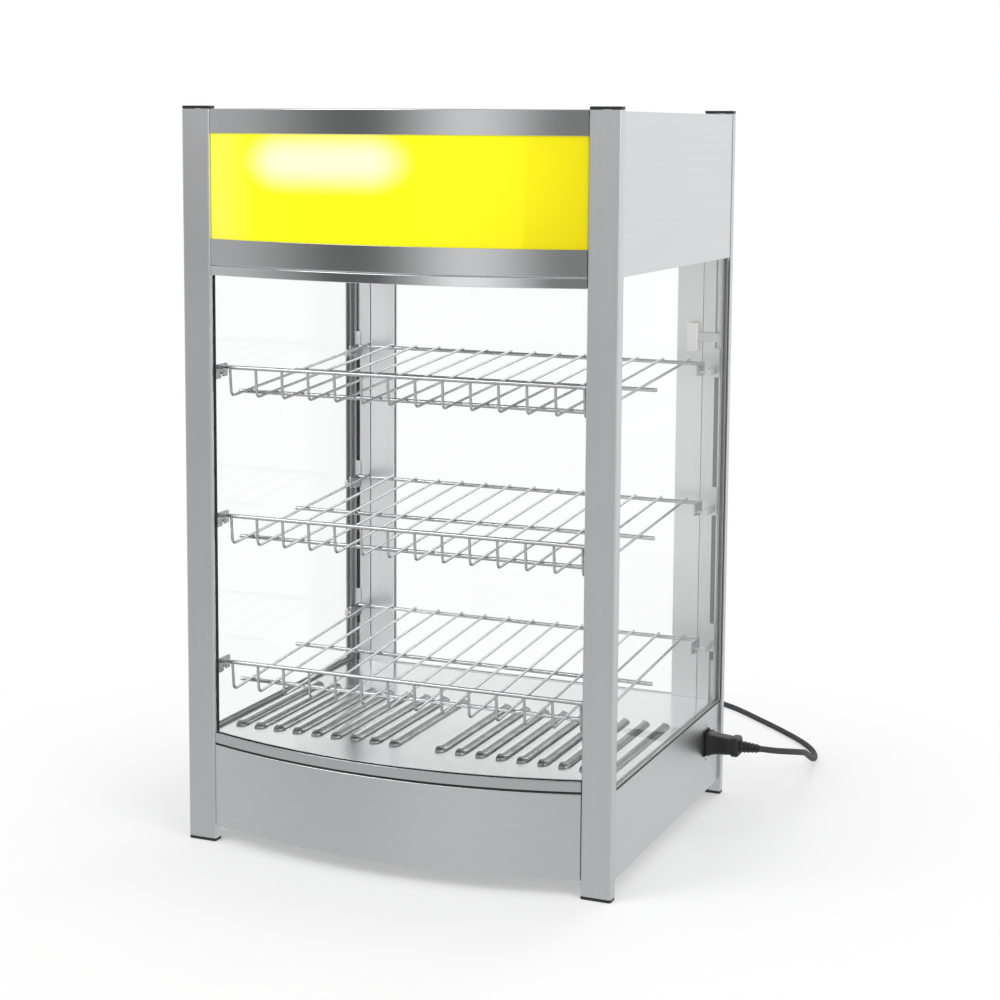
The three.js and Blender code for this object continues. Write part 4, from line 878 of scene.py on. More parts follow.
def wire_look(name, level, roughness):
    """Plated wire: bright, with slight waves and dull spots."""
    tree = new_look(name)
    wave = tree.noise(160.0)
    spot = tree.noise(900.0)
    shader = tree.add("ShaderNodeBsdfPrincipled", {
        "Base Color": tree.tint(wave, grey(level * 0.88, -0.01), grey(level, -0.01)),
        "Metallic": 1.0,
        "Roughness": tree.between(
            spot, roughness * SMOOTH_SHARE, roughness * (2 - SMOOTH_SHARE)
        ),
        "Normal": tree.bump(wave, 3e-5),
    })
    return tree.finish(shader.outputs[0])


LOOKS = {
    "rail_steel": lambda name: brushed_look(name, 0.60, "x", 0.2),
    "front_steel": lambda name: brushed_look(name, 0.65, "x", 0.36),
    "side_steel": lambda name: brushed_look(name, 0.66, "y", 0.38),
    "bright_band": lambda name: brushed_look(name, 0.72, "x", 0.1, depth=2e-6),
    # The lower channel's steel, darker than the upper channel's same steel: painted shade for its
    # darker reflections.
    "sill_band": lambda name: brushed_look(name, 0.5, "x", 0.1, depth=2e-6),
    # Near black steel for the hanger strips: painted shade of the post's slot.
    "slot_shade": lambda name: brushed_look(name, 0.08, "z", 0.6),
    "hanger_steel": lambda name: brushed_look(name, 0.45, "z", 0.4, warm=-0.04),
    "deck_steel": lambda name: brushed_look(name, 0.76, "x", 0.2, depth=3e-6),
    "post_metal": lambda name: brushed_look(name, 0.64, "z", 0.42),
    "frame_metal": lambda name: brushed_look(name, 0.70, "z", 0.42),
    "plated_steel": lambda name: brushed_look(name, 0.52, "z", 0.4, streak=0.1),
    "polished_steel": lambda name: wire_look(name, 0.72, 0.14),
    "rack_wire": lambda name: wire_look(name, 0.44, 0.2),
    "element_metal": lambda name: wire_look(name, 0.16, 0.55),
    "brass": lambda name: brushed_look(name, 0.55, "z", 0.25, warm=0.3),
    "black_moulding": lambda name: moulded_look(name, grey(0.012), 0.45),
    # Black rubber, also used as painted shade for the bead in each side seal's groove.
    "black_rubber": lambda name: moulded_look(name, grey(0.014), 0.75),
    "seal_rubber": lambda name: moulded_look(name, grey(0.27), 0.45, speck=0.08),
    "cord_rubber": lambda name: moulded_look(name, grey(0.27, -0.03), 0.4),
    "white_moulding": lambda name: moulded_look(name, grey(0.78, 0.02), 0.4, speck=0.05),
    "white_mark": lambda name: moulded_look(name, grey(0.82), 0.5, speck=0.05),
    "green_moulding": lambda name: moulded_look(name, (0.012, 0.22, 0.045, 1), 0.25, coat=0.3),
    "pane_glass": lambda name: glass_look(name, (0.99, 0.996, 0.992, 1)),
    # The sign's look paints the lamp's glow and shade into its colours.
    "lit_sign": sign_look,
    # Hoods with a painted highlight on their level tops and painted shade down their sides.
    "louvre_steel": louvre_look,
    "lamp_tube": lamp_look,
}


def find_look(name):
    """The named material, made on first use."""
    if name not in LOOKS:
        raise ValueError("no look is named " + name)
    return bpy.data.materials.get(name) or LOOKS[name](name)


# Settings.

class CaseSizes(bpy.types.PropertyGroup):
    """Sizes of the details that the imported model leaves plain."""

    edge: bpy.props.FloatProperty(
        name="Edge Rounding", description="Radius of a sheet metal edge",
        default=0.0004, min=0.0, unit="LENGTH",
    )
    wire: bpy.props.FloatProperty(
        name="Wire Radius", description="Radius of a rack's thin wires",
        default=0.0015, min=0.0005, unit="LENGTH",
    )
    rail: bpy.props.FloatProperty(
        name="Rail Radius", description="Radius of a rack's rails and cross bars",
        default=0.00225, min=0.0005, unit="LENGTH",
    )
    weld: bpy.props.FloatProperty(
        name="Weld Size", description="Radius of the weld beads on the rack's crossings",
        default=0.0021, min=0.0, unit="LENGTH",
    )
    sides: bpy.props.IntProperty(
        name="Round Sides", description="Sides of a round wire or bar", default=14, min=6,
    )


class CaseColours(bpy.types.PropertyGroup):
    """Colours of the case."""

    sign: bpy.props.FloatVectorProperty(
        name="Sign Colour", description="Colour of the bare sign panel in the header",
        default=(0.80, 0.66, 0.002), size=3, min=0.0, max=1.0, subtype="COLOR",
    )


class StageSettings(bpy.types.PropertyGroup):
    """Light and floor of the stage."""

    world: bpy.props.FloatProperty(
        name="World Light", description="Strength of the even light from all round",
        default=0.72, min=0.0,
    )
    lamps: bpy.props.FloatProperty(
        name="Lamp Light", description="Share of the lamps' full power", default=1.0, min=0.0,
    )
    floor: bpy.props.FloatProperty(
        name="Floor Size", description="Side of the square floor",
        default=24.0, min=1.0, unit="LENGTH",
    )


class PieceOperator(bpy.types.Operator):
    """Shared settings of the operators that build pieces."""

    bl_options = {"REGISTER", "UNDO"}

    def execute(self, context):
        self.build(context.scene.case_sizes)
        return {"FINISHED"}


# Operators.

class CASE_OT_camera(PieceOperator):
    """Place the camera where the photograph was taken"""

    bl_idname = "case.camera"
    bl_label = "Place Camera"

    def build(self, sizes):
        pitch = math.cos(CAMERA_PITCH)
        forward = Vector((
            -math.sin(CAMERA_YAW) * pitch, math.cos(CAMERA_YAW) * pitch, math.sin(CAMERA_PITCH),
        ))
        level = Vector((math.cos(CAMERA_YAW), math.sin(CAMERA_YAW), 0))
        upright = level.cross(forward)
        right = level * math.cos(CAMERA_ROLL) + upright * math.sin(CAMERA_ROLL)
        up = upright * math.cos(CAMERA_ROLL) - level * math.sin(CAMERA_ROLL)
        data = bpy.data.cameras.new("Camera")
        data.lens = CAMERA_LENS
        data.sensor_width = CAMERA_SENSOR
        data.shift_y = CAMERA_SHIFT
        camera = bpy.data.objects.new("Camera", data)
        turn = Matrix((right, up, -forward)).transposed().to_4x4()
        camera.matrix_world = Matrix.Translation(CAMERA_PLACE) @ turn
        bpy.context.scene.collection.objects.link(camera)
        bpy.context.scene.camera = camera


class CASE_OT_cord(PieceOperator):
    """Build the mains cord with its connector, coil, tie and plug"""

    bl_idname = "case.cord"
    bl_label = "Build Cord"

    def build(self, sizes):
        turns = self.coil()
        path = smooth_path([*CORD_ROUTE, turns[0]], ROUTE_STEPS)[:-1] + turns
        curve = bpy.data.curves.new("mains_cord", "CURVE")
        curve.dimensions = "3D"
        curve.bevel_depth = CORD_DIAMETER / 2
        curve.bevel_resolution = BEVEL_STEPS
        curve.use_fill_caps = True
        spline = curve.splines.new("POLY")
        spline.points.add(len(path) - 1)
        for point, place in zip(spline.points, path):
            point.co = (*place, 1)
        curve.materials.append(find_look("cord_rubber"))
        cord = bpy.data.objects.new("mains_cord", curve)
        bpy.context.scene.collection.objects.link(cord)
        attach(cord, "cabinet")
        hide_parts("power_cord", "power_cord_coil")
        connector = self.connector()
        tie = dress_node("cord_tie", "black_moulding", TIE_EDGE)
        plug, pins = self.plug(turns[-1])

    def coil(self):
        """The coil's centreline: inwards on the floor, then outwards on top of itself."""
        half = COIL_TURNS / 2
        count = round(COIL_TURNS * COIL_STEPS)
        points = []
        for index in range(count + 1):
            turn = index / COIL_STEPS
            radius = COIL_OUTER_RADIUS - COIL_RADIAL_PITCH * (half - abs(turn - half))
            share = min(max((turn - half + COIL_CLIMB / 2) / COIL_CLIMB, 0.0), 1.0)
            climb = share * share * (3 - 2 * share)
            angle = -2 * math.pi * turn
            points.append(Vector((
                COIL_CENTRE[0] + radius * math.cos(angle),
                COIL_CENTRE[1] + radius * math.sin(angle),
                COIL_BOTTOM_Z + COIL_LAYER_PITCH * climb,
            )))
        lead = points[0] + Vector((0, COIL_LEAD, 0))
        tail = points[-1] + Vector((0, COIL_TAIL, 0))
        return [lead, *points, (points[-1] + tail) / 2, tail]

    def relief(self, bm, place, length):
        """A ribbed, tapered strain relief."""
        pitch = length / RELIEF_RIBS
        profile = [(RELIEF_ROOT_RADIUS, -RAIL_BITE)]
        for index in range(RELIEF_RIBS):
            share = index / (RELIEF_RIBS - 1)
            radius = part_way(RELIEF_ROOT_RADIUS, RELIEF_TIP_RADIUS, share)
            start = index * pitch
            neck = radius - RELIEF_GROOVE
            profile += [(radius, start + pitch * part) for part in RELIEF_RIB_SHARES]
            profile += [(neck, start + pitch * part) for part in RELIEF_GROOVE_SHARES]
        profile.append((CORD_DIAMETER / 2, length))
        add_lathe(bm, profile, place, RELIEF_SIDES)

    def connector(self):
        """The connector in the side panel: a taper with a collar, grip ribs and its relief."""
        low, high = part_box("cord_connector")
        bm = bmesh.new()
        y, z = CORD_ROUTE[0][1:]
        end = high.x - RELIEF_LENGTH
        start = end - CONNECTOR_LENGTH
        wide = (high.y - low.y) / 2
        tall = (high.z - low.z) / 2
        rings = []
        for share, width, height in CONNECTOR_SECTIONS:
            x = part_way(start, end, share)
            across, up = wide * width, tall * height
            outline = soft_rectangle(-across, across, -up, up, CONNECTOR_CORNER)
            rings.append([bm.verts.new((x, y + point[0], z + point[1])) for point in outline])
        join_rings(bm, rings)
        across, up = wide * NOSE_SHARE, tall * NOSE_SHARE
        nose = rounded(
            rectangle(y - across, y + across, z - up, z + up),
            [0, CONNECTOR_CORNER, CONNECTOR_CORNER, 0],
        )
        add_plate(bm, [nose], low.x, start + RAIL_BITE, 0.0, "x")
        for index in range(GRIP_RIBS):
            share = part_way(*GRIP_SHARES, index / (GRIP_RIBS - 1))
            x = part_way(start, end, share)
            for side in (-1, 1):
                spot = y + side * wide * GRIP_WIDTH_SHARE
                reach = tall * GRIP_HEIGHT_SHARE
                ends = [(x, spot, z - reach), (x, spot, z + reach)]
                add_tube(bm, ends, GRIP_RADIUS, GRIP_SIDES, DOME_STEPS)
        place = Matrix.Translation((end, y, z)) @ Matrix.Rotation(math.pi / 2, 4, "Y")
        self.relief(bm, place, RELIEF_LENGTH)
        return make_piece(
            bm, "connector", "cabinet", "black_moulding", ["cord_connector"]
        )

    def plug(self, end):
        """The three-pin mains plug lying pins upwards, and its brass pins."""
        low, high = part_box("mains_plug")
        body_start = low.y + PLUG_RELIEF_LENGTH
        axis_z = COIL_BOTTOM_Z + COIL_LAYER_PITCH
        top = 2 * axis_z - low.z
        step = part_way(low.z, top, PLUG_STEP_SHARE)
        bm = bmesh.new()
        outline = [
            (low.x + PLUG_TAPER, body_start), (high.x - PLUG_TAPER, body_start),
            (high.x, high.y), (low.x, high.y),
        ]
        middle = (body_start + high.y) / 2
        foot = [
            (part_way(end.x, x, PLUG_FOOT_SHARE), y + math.copysign(PLUG_FOOT_INSET, middle - y))
            for x, y in outline
        ]
        foot, rim = (
            rounded(corners, [PLUG_CORNER] * 4, PLUG_CORNER_STEPS) for corners in (foot, outline)
        )
        add_plate(bm, [foot], low.z, step + RAIL_BITE, PLUG_FOOT_EDGE, steps=PLUG_FOOT_STEPS)
        add_plate(bm, [rim], step, top, PLUG_RIM_EDGE, steps=PLUG_EDGE_STEPS)
        turn = Matrix.Rotation(math.pi / 2, 4, "X")
        self.relief(bm, Matrix.Translation((end.x, body_start, axis_z)) @ turn, PLUG_RELIEF_LENGTH)
        piece = make_piece(
            bm, "plug_body", "cabinet", "black_moulding", ["mains_plug"]
        )
        pins = bmesh.new()
        line_y = body_start + PLUG_PIN_Y
        for x, y, (wide, deep), tip in (
            (end.x - PLUG_PIN_X, line_y, PLUG_BLADE, high.z - PLUG_EARTH_EXTRA),
            (end.x + PLUG_PIN_X, line_y, PLUG_BLADE, high.z - PLUG_EARTH_EXTRA),
            (end.x, line_y + PLUG_EARTH_PITCH, PLUG_EARTH_BLADE, high.z),
        ):
            pin = rectangle(x - wide / 2, x + wide / 2, y - deep / 2, y + deep / 2)
            add_plate(pins, [pin], top - RAIL_BITE, tip, PLUG_PIN_EDGE, steps=PLUG_EDGE_STEPS)
        metal = make_piece(pins, "plug_pins", "cabinet", "brass")
        return piece, metal


class CASE_OT_front(PieceOperator):
    """Build the curved rails, the sign, the glass and the plinth front"""

    bl_idname = "case.front"
    bl_label = "Build Front"

    def build(self, sizes):
        edge = sizes.edge
        self.angle("header_upper_rail", True, edge)
        self.angle("header_lower_rail", False, edge)
        self.plinth(edge)
        self.channel("upper_glass_channel", "bright_band", True, edge)
        # The lower channel's steel is painted darker: painted shade.
        self.channel("lower_glass_channel", "sill_band", False, edge)
        # The sign's look paints the lamp's glow and shade into its colours.
        self.strip("sign_panel", "lit_sign", SIGN_OFFSET, SIGN_THICKNESS, edge)
        self.strip("front_glass", "pane_glass", PANE_OFFSET, PANE_THICKNESS, 2 * edge)
        self.strip("plinth_seal", "black_rubber", PLINTH_SEAL_INSET, PLINTH_SEAL_WIDTH, edge)
        self.edge_seals()

    def edge_seals(self):
        """Thin dark beads between the bow glass's upright edges and the posts."""
        low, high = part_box("front_glass")
        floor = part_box("lower_glass_channel")[1].z
        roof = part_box("upper_glass_channel")[0].z
        bm = bmesh.new()
        for x in (low.x + EDGE_SEAL_RADIUS / 2, high.x - EDGE_SEAL_RADIUS / 2):
            y = front_y(x, PANE_OFFSET + PANE_THICKNESS)
            ends = [(x, y, floor), (x, y, roof)]
            add_tube(bm, ends, EDGE_SEAL_RADIUS, EDGE_SEAL_SIDES, DOME_STEPS)
        make_piece(bm, "glass_edge_seals", "cabinet", "black_rubber")

    def band(self, node, look, corners):
        """Sweeps corners of (offset, z, radius) and stands the result for the node."""
        profile = rounded([corner[:2] for corner in corners], [corner[2] for corner in corners])
        bm = bmesh.new()
        add_band(bm, profile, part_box(node)[1].x)
        make_piece(bm, node + "_piece", "cabinet", look, [node])

    def plinth(self, edge):
        """The plinth's front: a sheet folded back at its top and its bottom."""
        low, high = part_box("plinth_front")
        top, bottom = high.z - SHEET, low.z + SHEET
        self.band("plinth_front", "front_steel", [
            (0, low.z, FOLD_RADIUS), (0, high.z, FOLD_RADIUS),
            (FRONT_FLANGE, high.z, edge), (FRONT_FLANGE, top, edge), (SHEET, top, edge),
            (SHEET, bottom, edge), (FRONT_FLANGE, bottom, edge), (FRONT_FLANGE, low.z, edge),
        ])

    def angle(self, node, flange_on_top, edge):
        """A header rail: a face with one flange, at its top or its bottom."""
        low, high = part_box(node)
        near, far = (high.z, low.z) if flange_on_top else (low.z, high.z)
        turn = -1 if flange_on_top else 1
        self.band(node, "rail_steel", [
            (0, far, edge), (0, near, FOLD_RADIUS), (FRONT_FLANGE, near, edge),
            (FRONT_FLANGE, near + turn * SHEET, edge), (SHEET, near + turn * SHEET, edge),
            (SHEET, far, edge),
        ])

    def channel(self, node, look, open_below, edge):
        """A channel section that holds the glass's edge."""
        low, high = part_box(node)
        wall = CHANNEL_WALL
        inner = CHANNEL_DEPTH
        web, mouth = (high.z, low.z) if open_below else (low.z, high.z)
        turn = -1 if open_below else 1
        self.band(node, look, [
            (0, mouth, 1.5 * edge), (0, web, 2 * edge), (inner + wall, web, 2 * edge),
            (inner + wall, mouth, 1.5 * edge), (inner, mouth, edge),
            (inner, web + turn * wall, edge), (wall, web + turn * wall, edge), (wall, mouth, edge),
        ])

    def strip(self, node, look, offset, thickness, edge):
        """A flat strip that follows the bow."""
        low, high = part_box(node)
        self.band(node, look, [
            (offset, low.z, edge), (offset, high.z, edge),
            (offset + thickness, high.z, edge), (offset + thickness, low.z, edge),
        ])


class CASE_OT_deck(PieceOperator):
    """Build the deck with its rows of raised louvres"""

    bl_idname = "case.deck"
    bl_label = "Build Louvred Deck"

    def build(self, sizes):
        low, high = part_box("deck")
        half = ARC_HALF
        bottom = DECK_TOP - DECK_THICKNESS
        stations = [half * (2 * i / FRONT_STATIONS - 1) for i in range(FRONT_STATIONS + 1)]
        outline = [(x, front_y(x, DECK_FRONT_OFFSET)) for x in stations]
        outline += [
            (half, -high.y), (high.x, -high.y), (high.x, high.y),
            (low.x, high.y), (low.x, -high.y), (-half, -high.y),
        ]
        bm = bmesh.new()
        places = [
            side * (LOUVRE_CENTRE_GAP / 2 + index * LOUVRE_PITCH) - LOUVRE_WIDTH / 2
            for side in (-1, 1) for index in range(LOUVRE_COUNT)
        ]
        holes = [self.hole(x) for x in places]
        add_plate(bm, [outline, *holes], bottom, DECK_TOP)
        front_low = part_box("plinth_front")[1].z + DECK_LIP_GAP
        lip = [
            (DECK_FRONT_OFFSET, front_low), (DECK_FRONT_OFFSET, bottom),
            (DECK_FRONT_OFFSET + DECK_THICKNESS, bottom),
            (DECK_FRONT_OFFSET + DECK_THICKNESS, front_low),
        ]
        add_band(bm, lip, half)
        apron = rectangle(-half, half, high.y - DECK_THICKNESS, high.y)
        add_plate(bm, [apron], DECK_TOP - DECK_APRON, bottom, 0.0)
        make_piece(bm, "deck_sheet", "cabinet", "deck_steel", ["deck"])
        hoods = bmesh.new()
        for x in places:
            self.hood(hoods, x)
        # The hoods' look paints a highlight on their level tops and shade down their sides.
        make_piece(hoods, "louvre_hoods", "cabinet", "louvre_steel")

    def hole(self, x):
        """The opening under a louvre's hood."""
        reach = LOUVRE_WIDTH - DECK_THICKNESS
        points = [(x - LOUVRE_SHEAR, LOUVRE_ENDS[0][0] - reach)]
        for centre, start in LOUVRE_ENDS:
            for turn in self.quarter(start):
                points.append((x + reach * math.cos(turn), centre + reach * math.sin(turn)))
        points.append((x - LOUVRE_SHEAR, LOUVRE_ENDS[1][0] + reach))
        return points

    def quarter(self, start):
        """The angles of a quarter turn from start."""
        return [start + math.pi / 2 * step / LOUVRE_STEPS for step in range(LOUVRE_STEPS + 1)]

    def hood(self, bm, x):
        """A quarter round hood with rounded ends, open on its left."""
        shells = [self.shell(bm, x, 0.0), self.shell(bm, x, DECK_THICKNESS)]
        outer, inner = (self.rim(shell) for shell in shells)
        for index in range(len(outer)):
            self.face(bm, (outer[index - 1], outer[index], inner[index], inner[index - 1]))

    def shell(self, bm, x, inset):
        """A grid of vertices over the hood: stations from front to back, each from top to foot."""
        wide = LOUVRE_WIDTH - inset
        rise = LOUVRE_RISE - inset
        leans = self.quarter(0.0)
        side = [(wide * math.sin(lean), DECK_TOP + rise * math.cos(lean)) for lean in leans[:-1]]
        side.append((wide * math.sin(leans[-1]), DECK_TOP - DECK_THICKNESS / 2))
        grid = [
            [bm.verts.new((x + away * math.cos(turn), y + away * math.sin(turn), height))
             for away, height in side]
            for y, start in LOUVRE_ENDS for turn in self.quarter(start)
        ]
        for before, after in zip(grid, grid[1:]):
            for step in range(LOUVRE_STEPS):
                self.face(bm, (before[step], after[step], after[step + 1], before[step + 1]))
        return grid

    def rim(self, grid):
        """The shell's boundary as one closed run of vertices."""
        foot = [column[-1] for column in grid]
        top = [column[0] for column in reversed(grid)]
        return foot + grid[-1][-2:0:-1] + top + grid[0][1:-1]

    def face(self, bm, corners):
        """A face between the corners, unless they fall together."""
        places = {tuple(round(c, FACE_DIGITS) for c in corner.co) for corner in corners}
        if len(places) > 2:
            bm.faces.new(corners)


class CASE_OT_racks(PieceOperator):
    """Build the three wire racks with their rails and hook plates"""

    bl_idname = "case.racks"
    bl_label = "Build Wire Racks"

    def build(self, sizes):
        places = [self.rack(node, plane, sizes) for node, plane in RACK_PLANES.items()]
        for corner, across, back in (
            ("front_left", -1, False), ("front_right", 1, False),
            ("rear_left", -1, True), ("rear_right", 1, True),
        ):
            centres = [rails[back] for rails in places]
            self.hanger(corner, across, 1 if back else -1, centres)

    def hanger(self, corner, across, way, centres):
        """A strip in the post's slot, near black as painted shade of the slot, with a plate, an arm
        and a pin for each rack.
        """
        node = corner + "_rack_hanger"
        low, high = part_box(node)
        post_low, post_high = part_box(corner + "_post")
        middle = (post_low.x + post_high.x) / 2
        face = post_low.y if way > 0 else post_high.y
        far = high.y if way > 0 else low.y
        strip = bmesh.new()
        half = HANGER_HALF_WIDTH
        near = far - way * HANGER_STRIP
        outline = rectangle(middle - half, middle + half, *sorted((near, far)))
        add_plate(strip, [outline], low.z, high.z, HANGER_STRIP / 4)
        # The real strip, coloured near black: painted shade of the slot it stands in.
        make_piece(strip, node + "_strip", "cabinet", "slot_shade", [node])
        arms = bmesh.new()
        for centre in centres:
            y = centre.y - way * HOOK_NOTCH_INSET
            z = centre.z - HOOK_NOTCH_TOP - PIN_GAP - PIN_RADIUS
            front = face - way * HANGER_PLATE
            plate = soft_rectangle(
                middle - half, middle + half, z - HANGER_PLATE_FALL, z + HANGER_PLATE_RISE,
                HANGER_CORNER,
            )
            add_plate(arms, [plate], *sorted((front, face)), HANGER_PLATE / 4, "y")
            wide = HANGER_ARM_HALF
            tall = (z - HANGER_ARM_HALF_HEIGHT, z + HANGER_ARM_HALF_HEIGHT)
            stem = rectangle(middle - wide, middle + wide, *tall)
            ends = sorted((face - way * RAIL_BITE, near + way * RAIL_BITE))
            add_plate(arms, [stem], *ends, 0.0, "y")
            reach = sorted((y - way * PIN_RADIUS, front + way * RAIL_BITE))
            arm = soft_rectangle(*reach, *tall, HANGER_CORNER)
            add_plate(arms, [arm], middle - wide, middle + wide, HANGER_PLATE / 4, "x")
            tip = low.x if across > 0 else high.x
            add_tube(arms, [(middle, y, z), (tip, y, z)], PIN_RADIUS, PIN_SIDES, DOME_STEPS)
        make_piece(arms, node + "_arms", "cabinet", "hanger_steel")

    def rack(self, node, plane, sizes):
        """Builds one rack and gives back the centres of its front and back rails."""
        foot_y = FRONT_RAIL_Y + RACK_LIP * math.sin(RACK_TILT)
        half_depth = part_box("rear_left_post_cap")[1].y
        foot_z = plane + (foot_y + half_depth) * math.tan(RACK_TILT)
        length = (BACK_RAIL_Y - foot_y) / math.cos(RACK_TILT)
        drop = sizes.wire + sizes.rail - RAIL_BITE
        place = Matrix.Translation((0, foot_y, foot_z)) @ Matrix.Rotation(RACK_TILT, 4, "X")
        wires = bmesh.new()
        xs = [WIRE_PITCH * (index - (WIRE_COUNT - 1) / 2) for index in range(WIRE_COUNT)]
        for x in xs:
            points = [(x, 0, RACK_LIP), (x, 0, 0), (x, length + WIRE_BACK_OVERHANG, 0)]
            path = bent_path(points, WIRE_BEND, BEND_STEPS)
            add_tube(wires, path, sizes.wire, sizes.sides, DOME_STEPS)
        half = WIRE_PITCH * (WIRE_COUNT - 1) / 2 + RAIL_OVERHANG
        runs = [(0, RACK_LIP), (length, -drop)]
        runs += [(length * share, -drop) for share in CROSS_BAR_SHARES]
        for along, up in runs:
            ends = [(-half - RAIL_BITE, along, up), (half + RAIL_BITE, along, up)]
            add_tube(wires, ends, sizes.rail, sizes.sides)
            for x in xs:
                self.weld(wires, x, along, up, sizes)
        wires.transform(place)
        body = node + "_body"
        make_piece(wires, node + "_wires", body, "rack_wire", [node])
        hooks = bmesh.new()
        for along, up, way in ((0, RACK_LIP, 1), (length, -drop, -1)):
            centre = place @ Vector((0, along, up))
            outline = [(centre.y + y, centre.z + z) for y, z in self.hook(way, sizes)]
            for low, high in ((half, half + HOOK_THICKNESS), (-half - HOOK_THICKNESS, -half)):
                add_plate(hooks, [outline], low, high, sizes.edge * HOOK_EDGE_SHARE, "x")
        make_piece(hooks, node + "_hooks", body, "rack_wire")
        return place @ Vector((0, 0, RACK_LIP)), place @ Vector((0, length, -drop))

    def hook(self, way, sizes):
        """A hook plate's outline round its rail, with a notch for the hanger's pin."""
        near = HOOK_NOTCH_INSET - HOOK_NOTCH_WIDTH / 2
        far = HOOK_NOTCH_INSET + HOOK_NOTCH_WIDTH / 2
        corner = HOOK_CORNER
        points = [
            (-HOOK_FRONT, sizes.rail, corner), (HOOK_BACK, sizes.rail, corner),
            (HOOK_BACK, -HOOK_SHORT_DROP, corner), (far, -HOOK_SHORT_DROP, corner / 2),
            (far, -HOOK_NOTCH_TOP, corner / 2), (near, -HOOK_NOTCH_TOP, corner / 2),
            (near, -HOOK_DROP, corner), (-HOOK_FRONT, -HOOK_DROP, corner),
        ]
        corners = [(way * point[0], point[1]) for point in points]
        return rounded(corners, [point[2] for point in points])

    def weld(self, bm, x, along, up, sizes):
        """A small bead where a wire is welded to a rail."""
        if not sizes.weld:
            return
        height = up + sizes.rail * (WELD_UPPER_SHARE if up < 0 else -WELD_LOWER_SHARE)
        ends = [(x - sizes.weld, along, height), (x + sizes.weld, along, height)]
        add_tube(bm, ends, sizes.wire * WELD_FULLNESS, WELD_SIDES, DOME_STEPS)


def backwards(place):
    """A turn of the z axis to the back, moved to place."""
    return Matrix.Translation(place) @ Matrix.Rotation(-math.pi / 2, 4, "X")


def surface(node):
    """A search tree of the node's faces."""
    mesh = node.data
    return BVHTree.FromPolygons(
        [vert.co for vert in mesh.vertices], [face.vertices for face in mesh.polygons]
    )


def hit_from_back(tree, x, z):
    """Where a line from behind the case at x and z meets the surface, and its normal there."""
    spot, normal = tree.ray_cast(Vector((x, BEHIND, z)), Vector((0, -1, 0)))[:2]
    if spot is None:
        raise ValueError("nothing lies at x %.4f and z %.4f" % (x, z))
    return spot, normal


def screw_cross(size, height, angle):
    """A screw head's radius, drawn in at the ends of its cross near the top."""
    if height < SCREW_RISE / 2:
        return size
    return size * (1 - SCREW_CROSS_SHARE * max(0.0, math.cos(4 * angle)) ** 4)


